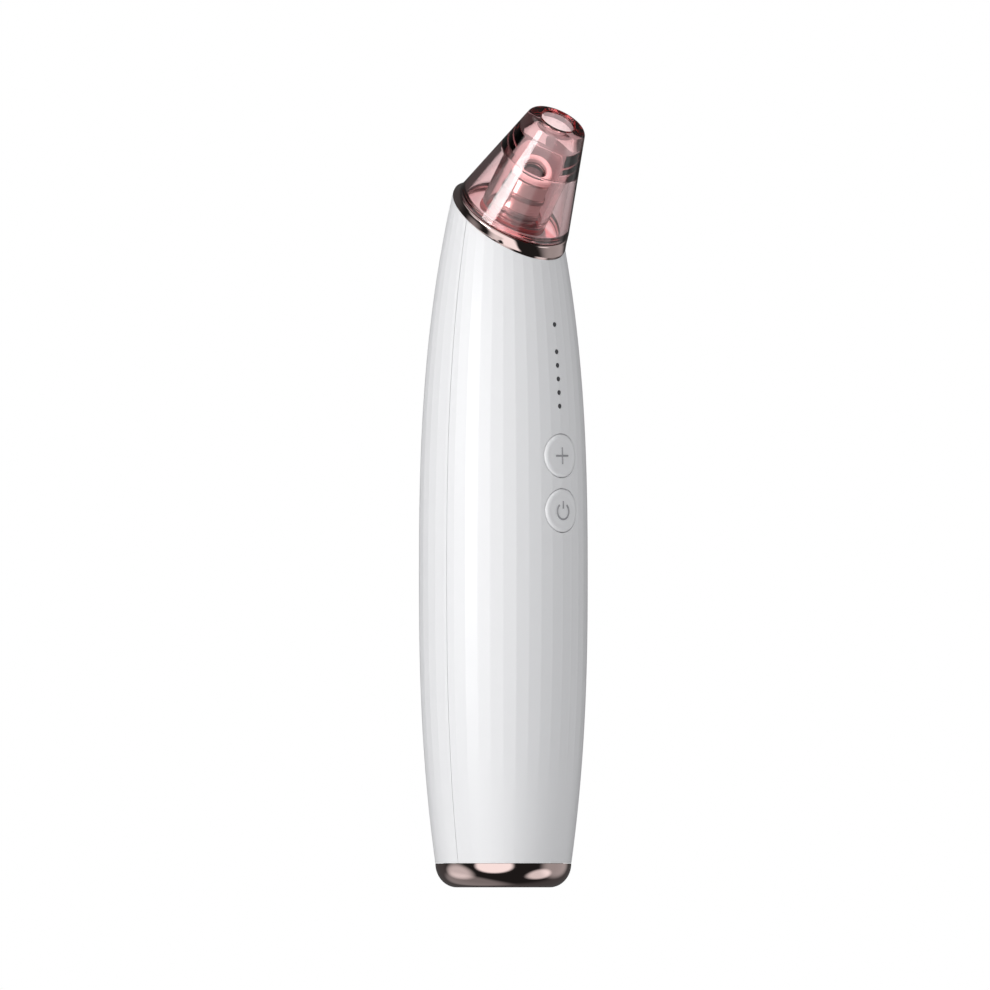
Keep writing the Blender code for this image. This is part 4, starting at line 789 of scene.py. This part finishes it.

# %% Two darker bands on the post
# The raised bands take a rougher plating in a darker colour. The darker colour is painted shade, standing in for the
# shade of grooves.
band_shade_plate, tree, shader = new_finish("band_plating_painted_shade", "#8B7C7A", 0.34, metallic=1.0)
grain(tree, shader, 0.3 * MM, 0.01 * MM, 0.28, 0.42)
for number, (low, radius) in enumerate(((6.35, 5.68), (2.15, 6.0)), 1):
    band_corners = [(radius, low, 0.08), (radius - 0.02, low + 1.1, 0.08), (radius - 0.5, low + 1.1, 0.05),
                    (radius - 0.5, low, 0.05)]
    finished(f"post_band_{number}", turned(f"band_{number}", rounded(band_corners, 3), 128, seat), band_shade_plate,
             "wand", "gunmetal_plate")

# %% Rim ring and foam plug
ring_corners = [(3.4, 11.6, 0.1), (3.4, 12.5, 0.35), (4.0, 12.9, 0.4), (4.7, 12.9, 0.45), (5.2, 12.4, 0.4),
                (5.2, 11.6, 0.15)]
finished("filter_ring_fine", turned("rim_ring", rounded(ring_corners), 96, seat), white_silicone, "wand",
         "silicone_white", "filter_ring")
plug_corners = [(0, 10.9, 0), (2.0, 10.92, 0.4), (3.2, 10.6, 0.5), (3.2, 4.1, 0.3), (0, 4.1, 0)]
plug = turned("plug", rounded(plug_corners, closed=False), 64, seat)
finished("filter_sponge_fine", plug, sponge_foam, "wand", "sponge_grey", "filter_sponge")

# %% Ribbed seal
seal_corners = [(6.35, 0.3, 0.1), (6.35, -1.2, 0.1), (8.1, -1.2, 0.1)]
for crest in (-0.95, -0.45, 0.05):
    seal_corners += [(8.15, crest - 0.22, 0.08), (8.7, crest - 0.1, 0.12), (8.7, crest + 0.1, 0.12),
                     (8.15, crest + 0.22, 0.08)]
seal_corners += [(8.05, 0.3, 0.1)]
finished("head_seal_fine", turned("seal", rounded(seal_corners, 3), 128, seat, 40), red_silicone, "wand",
         "silicone_red", "head_seal")

# %% [markdown]
# ## Suction head
# The head is one moulding with two jobs. Outside it is a cone with a soft rim. Inside, a tube slides over the nozzle
# post and opens into a small chamber below the mouth, and a thin skirt leaves an empty ring between them. Glass-like
# pieces have to be truly closed with a real wall, because the renderer bends light at every surface it meets.

# %% The head's outline
head_corners = [
    (4.7, 27.7, 0.35), (7.5, 27.7, 2.7), (14.9, 0.1, 0.3), (13.0, 0.1, 0.2), (12.9, -0.65, 0.2),
    (11.9, -0.65, 0.2), (12.6, 1.2, 1.0), (9.3, 15.3, 0.5), (8.95, 15.8, 0.25), (8.6, 15.2, 0.5),
    (8.7, 0.6, 0.25), (6.95, 0.6, 0.25), (6.95, 10.9, 5.0), (6.5, 22.5, 3.0), (4.5, 25.9, 1.2), (4.3, 27.4, 0.3),
]
head_mesh = turned("head", rounded(head_corners, 7), 160, seat, 50)
finished("suction_head_fine", head_mesh, clear_red, "suction_head", "clear_red", "suction_head")

# %% [markdown]
# ## Base cap
# A shallow plated cup with one generous corner. It is turned, and then a slot for the charging port is cut through
# its floor. The port's own shell sits a little way up inside.

# %% Turn the cup and cut the slot
cup_turn = 5.4  # how far the lower edge turns in, over the whole of the cup's 6 mm
quarter = [math.pi / 2 * step / 20 for step in range(21)]
cup_edge = [(17.0 - cup_turn * (1 - math.sin(turn)), 5.98 * (1 - math.cos(turn)), 0) for turn in quarter]
cup_corners = [(0, 0, 0), *cup_edge, (14.9, 5.98, 0.1), (14.9, 10.0, 0.3), (13.3, 10.0, 0.3), (13.3, 4.8, 0.8),
               (11.3, 1.8, 0.8), (0, 1.8, 0)]
cup = turned("cup", rounded(cup_corners, 5, closed=False), 160, None, 35)


def stadium(name, width, depth, centre_y, low_z, high_z, round_by, steps=8):
    """A rounded-corner box along Z, for slots and shells."""
    shape = bmesh.new()
    ring_points = []
    for corner_x, corner_y, start in ((1, 1, 0), (-1, 1, 1), (-1, -1, 2), (1, -1, 3)):
        for step in range(steps + 1):
            turn = math.pi / 2 * (start + step / steps)
            ring_points.append((corner_x * (width / 2 - round_by) + round_by * math.cos(turn),
                                centre_y + corner_y * (depth / 2 - round_by) + round_by * math.sin(turn)))
    low_ring = [shape.verts.new((x, y, low_z)) for x, y in ring_points]
    high_ring = [shape.verts.new((x, y, high_z)) for x, y in ring_points]
    shape.faces.new(low_ring)
    shape.faces.new(high_ring)
    for step in range(len(low_ring)):
        after = (step + 1) % len(low_ring)
        shape.faces.new((low_ring[step], low_ring[after], high_ring[after], high_ring[step]))
    return mesh_from(shape, name, None, 40)


port_y = 5.5 * MM
slot_cutter = stadium("slot", 8.2 * MM, 3.6 * MM, port_y, -2 * MM, 5 * MM, 1.6 * MM)
cup = cut(cup, slot_cutter)
cup.set_sharp_from_angle(angle=math.radians(32))
finished("base_cap_fine", cup, rose_plate, "wand", "gunmetal_plate", "base_cap")

# %% [markdown]
# ## The pieces inside
# What the shells hide keeps the model's own shape, which is right already. Each piece only swaps the model's plain
# colour for the finish of its real material.

# %% Finishes for the hidden pieces
hidden_finishes = {
    "black_glass_filled_nylon": ["chassis", "switch_mode", "switch_power", "motor_end_bell"],
    "natural_nylon": ["plunger_mode", "plunger_power", "pump_frame", "crank", "wobble_plate", "valve_plate",
                      "pump_cover", "led_1", "led_2", "led_3", "led_4", "led_5", "led_6"],
    "black_nitrile_rubber": ["pump_sleeve", "diaphragm", "umbrella_valve"],
    "blue_shrink_wrap": ["battery_cell"],
    "clear_hose_silicone": ["suction_hose"],
    "red_lead_insulation": ["motor_lead_red", "cell_lead_red", "charge_lead_red"],
    "black_lead_insulation": ["motor_lead_black", "cell_lead_black", "charge_lead_black"],
    "zinc_plated_steel": ["board_screw_1", "board_screw_2", "chassis_screw_1", "chassis_screw_2",
                          "chassis_screw_3", "charge_screw_1", "charge_screw_2", "pump_screw_1", "pump_screw_2",
                          "pump_screw_3", "motor_can", "motor_shaft", "crank_pin", "usb_socket"],
    "sintered_ferrite": ["magnet_left", "magnet_right"],
}
finishes.update({"green_solder_mask": solder_mask, "enamelled_copper": copper_wire,
                 "smoked_acrylic_lens": smoke_lens})
hidden_finishes.update({"green_solder_mask": ["main_board", "charge_board"], "enamelled_copper": ["armature"],
                        "smoked_acrylic_lens": ["light_pipe"]})
for finish_name, node_names in hidden_finishes.items():
    for node_name in node_names:
        mesh = frame["nodes"][node_name].data
        mesh.materials.clear()
        mesh.materials.append(finishes[finish_name])
print("hidden pieces:", sum(len(names) for names in hidden_finishes.values()))

# %% [markdown]
# ## Studio
# A white product is hard to show on white: its form comes only from soft steps of grey. The background and what
# shines through the clear head are white, the air around is a gentle grey, and mirrors see a dark room with a few
# soft lights in it. One large light from the left gives the barrel its slow turn from white to grey.

# %% The room
world = bpy.data.worlds.new("studio")
bpy.context.scene.world = world
world.use_nodes = True
room = world.node_tree
room.nodes.clear()
rays = add_node(room, "ShaderNodeLightPath")
air = add_node(room, "ShaderNodeBackground", None, {"Color": linear("#F4F5F7"), "Strength": 0.50})
paper = add_node(room, "ShaderNodeBackground", None, {"Color": (1.0, 1.0, 1.0, 1.0), "Strength": 1.0})

# %% The camera's corner, which the lights are placed from
view_turn = math.radians(-45)
towards_viewer = Vector((math.sin(view_turn), -math.cos(view_turn), 0))
rightwards = Vector((math.cos(view_turn), math.sin(view_turn), 0))


def direction_of(side, rise):
    """The direction that is this many degrees to the viewer's right, and this many above level."""
    turn, lift_angle = math.radians(side), math.radians(rise)
    level = towards_viewer * math.cos(turn) + rightwards * math.sin(turn)
    return level * math.cos(lift_angle) + Vector((0, 0, math.sin(lift_angle)))


# %% The dark room that plating mirrors
# Round glowing panels hang in it: side and rise in degrees, the panel's radius, the width of its soft edge, and
# its brightness.
panels = [(-92, -28, 12, 20, 0.85), (-16, -10, 27, 10, 1.5), (80, -40, 12, 13, 1.05), (-125, -54, 22, 16, 0.26),
          (105, -6, 20, 22, 0.48), (-64, 18, 12, 9, 1.2), (10, 72, 26, 16, 1.1), (180, 0, 50, 30, 0.06)]
gaze = add_node(room, "ShaderNodeTexCoord")
glow = add_node(room, "ShaderNodeValue")
glow.outputs[0].default_value = 0.02
for side, rise, radius_deg, edge_deg, brightness in panels:
    nearness = add_node(room, "ShaderNodeVectorMath", {"operation": "DOT_PRODUCT"},
                        {0: gaze.outputs["Generated"], 1: direction_of(side, rise)})
    panel = add_node(room, "ShaderNodeMapRange", {"interpolation_type": "SMOOTHSTEP"},
                     {"Value": nearness.outputs["Value"], "From Min": math.cos(math.radians(radius_deg + edge_deg)),
                      "From Max": math.cos(math.radians(radius_deg)), "To Min": 0.0, "To Max": brightness})
    glow = add_node(room, MATH, {"operation": "ADD"}, {0: glow.outputs[0], 1: panel.outputs["Result"]})
mirror_room = add_node(room, "ShaderNodeBackground", None, {"Color": linear("#FFFDFC"), "Strength": glow.outputs[0]})

# %% Which ray sees what
# The eye sees white paper, directly or straight through the clear head. Light that has bounced off something
# shiny sees the dark room, even when it then leaves through clear plastic.
through = add_node(room, MATH, {"operation": "LESS_THAN"}, {0: rays.outputs["Glossy Depth"], 1: 0.5})
straight = add_node(room, MATH, {"operation": "MULTIPLY"},
                    {0: rays.outputs["Is Transmission Ray"], 1: through.outputs[0]})
bounced = add_node(room, MATH, {"operation": "SUBTRACT"},
                   {0: rays.outputs["Is Transmission Ray"], 1: straight.outputs[0]})
seen = add_node(room, MATH, {"operation": "MAXIMUM"}, {0: rays.outputs["Is Camera Ray"], 1: straight.outputs[0]})
shiny = add_node(room, MATH, {"operation": "MAXIMUM"}, {0: rays.outputs["Is Glossy Ray"], 1: bounced.outputs[0]})
mirrored = add_node(room, "ShaderNodeMixShader", None,
                    {0: shiny.outputs[0], 1: air.outputs[0], 2: mirror_room.outputs[0]})
whole = add_node(room, "ShaderNodeMixShader", None,
                 {0: seen.outputs[0], 1: mirrored.outputs[0], 2: paper.outputs[0]})
add_node(room, "ShaderNodeOutputWorld", None, {"Surface": whole.outputs[0]})

# %% The camera, level and square on to the front's left corner
camera_data = bpy.data.cameras.new("portrait")
camera_data.type = "ORTHO"
camera_data.ortho_scale = 247.5 * MM
camera_data.clip_end = 10
camera = bpy.data.objects.new("portrait", camera_data)
bpy.context.scene.collection.objects.link(camera)
camera.location = towards_viewer * 0.9 - rightwards * 2.08 * MM + Vector((0, 0, 98.1 * MM))
camera.rotation_euler = (-towards_viewer).to_track_quat("-Z", "Y").to_euler()
bpy.context.scene.camera = camera
bpy.context.scene.view_settings.view_transform = "Standard"


# %% Lights
def soft_light(name, side, rise, distance, size, brightness, mirrored_too=True):
    """A round soft light that faces the wand, as bright as brightness times white paper in full light."""
    data = bpy.data.lights.new(name, "AREA")
    data.shape = "DISK"
    data.size = size
    data.energy = brightness * (math.pi * size / 2)**2
    lamp = bpy.data.objects.new(name, data)
    bpy.context.scene.collection.objects.link(lamp)
    aim = direction_of(side, rise)
    lamp.location = Vector((0, 0, 0.1)) + aim * distance
    lamp.rotation_euler = (-aim).to_track_quat("-Z", "Y").to_euler()
    lamp.visible_glossy = mirrored_too
    return lamp


soft_light("key", -44, 6, 0.9, 0.40, 8.6)
soft_light("front_fill", -8, 10, 0.9, 0.8, 0.62, False)
soft_light("right_fill", 100, 5, 0.9, 0.6, 0.45, False)

# %% A narrow spot on the head
# It falls from straight above and is linked to the pieces inside the clear head, so it leaves the barrel alone.
spot_data = bpy.data.lights.new("head_spot", "SPOT")
spot_data.energy = 16.0
spot_data.spot_size = math.radians(5.5)
spot_data.spot_blend = 0.35
spot_data.shadow_soft_size = 0.02
head_spot = bpy.data.objects.new("head_spot", spot_data)
bpy.context.scene.collection.objects.link(head_spot)
head_spot.location = (0, -12 * MM, 0.75)
head_spot.visible_glossy = False
under_head = bpy.data.collections.new("under_the_head")
for name in ("deck_plate_fine", "nozzle_post_fine", "filter_ring_fine", "filter_sponge_fine", "head_seal_fine",
             "post_band_1", "post_band_2"):
    under_head.objects.link(bpy.data.objects[name])
head_spot.light_linking.receiver_collection = under_head

# %% The floor
floor_mesh = bpy.data.meshes.new("floor")
floor_mesh.from_pydata([(-4, -4, 0), (4, -4, 0), (4, 4, 0), (-4, 4, 0)], [], [(0, 1, 2, 3)])
floor = bpy.data.objects.new("floor", floor_mesh)
bpy.context.scene.collection.objects.link(floor)
paper_floor, tree, shader = new_finish("pale_paper", "#F6F6F6", 0.9)
floor_mesh.materials.append(paper_floor)
floor.visible_glossy = False
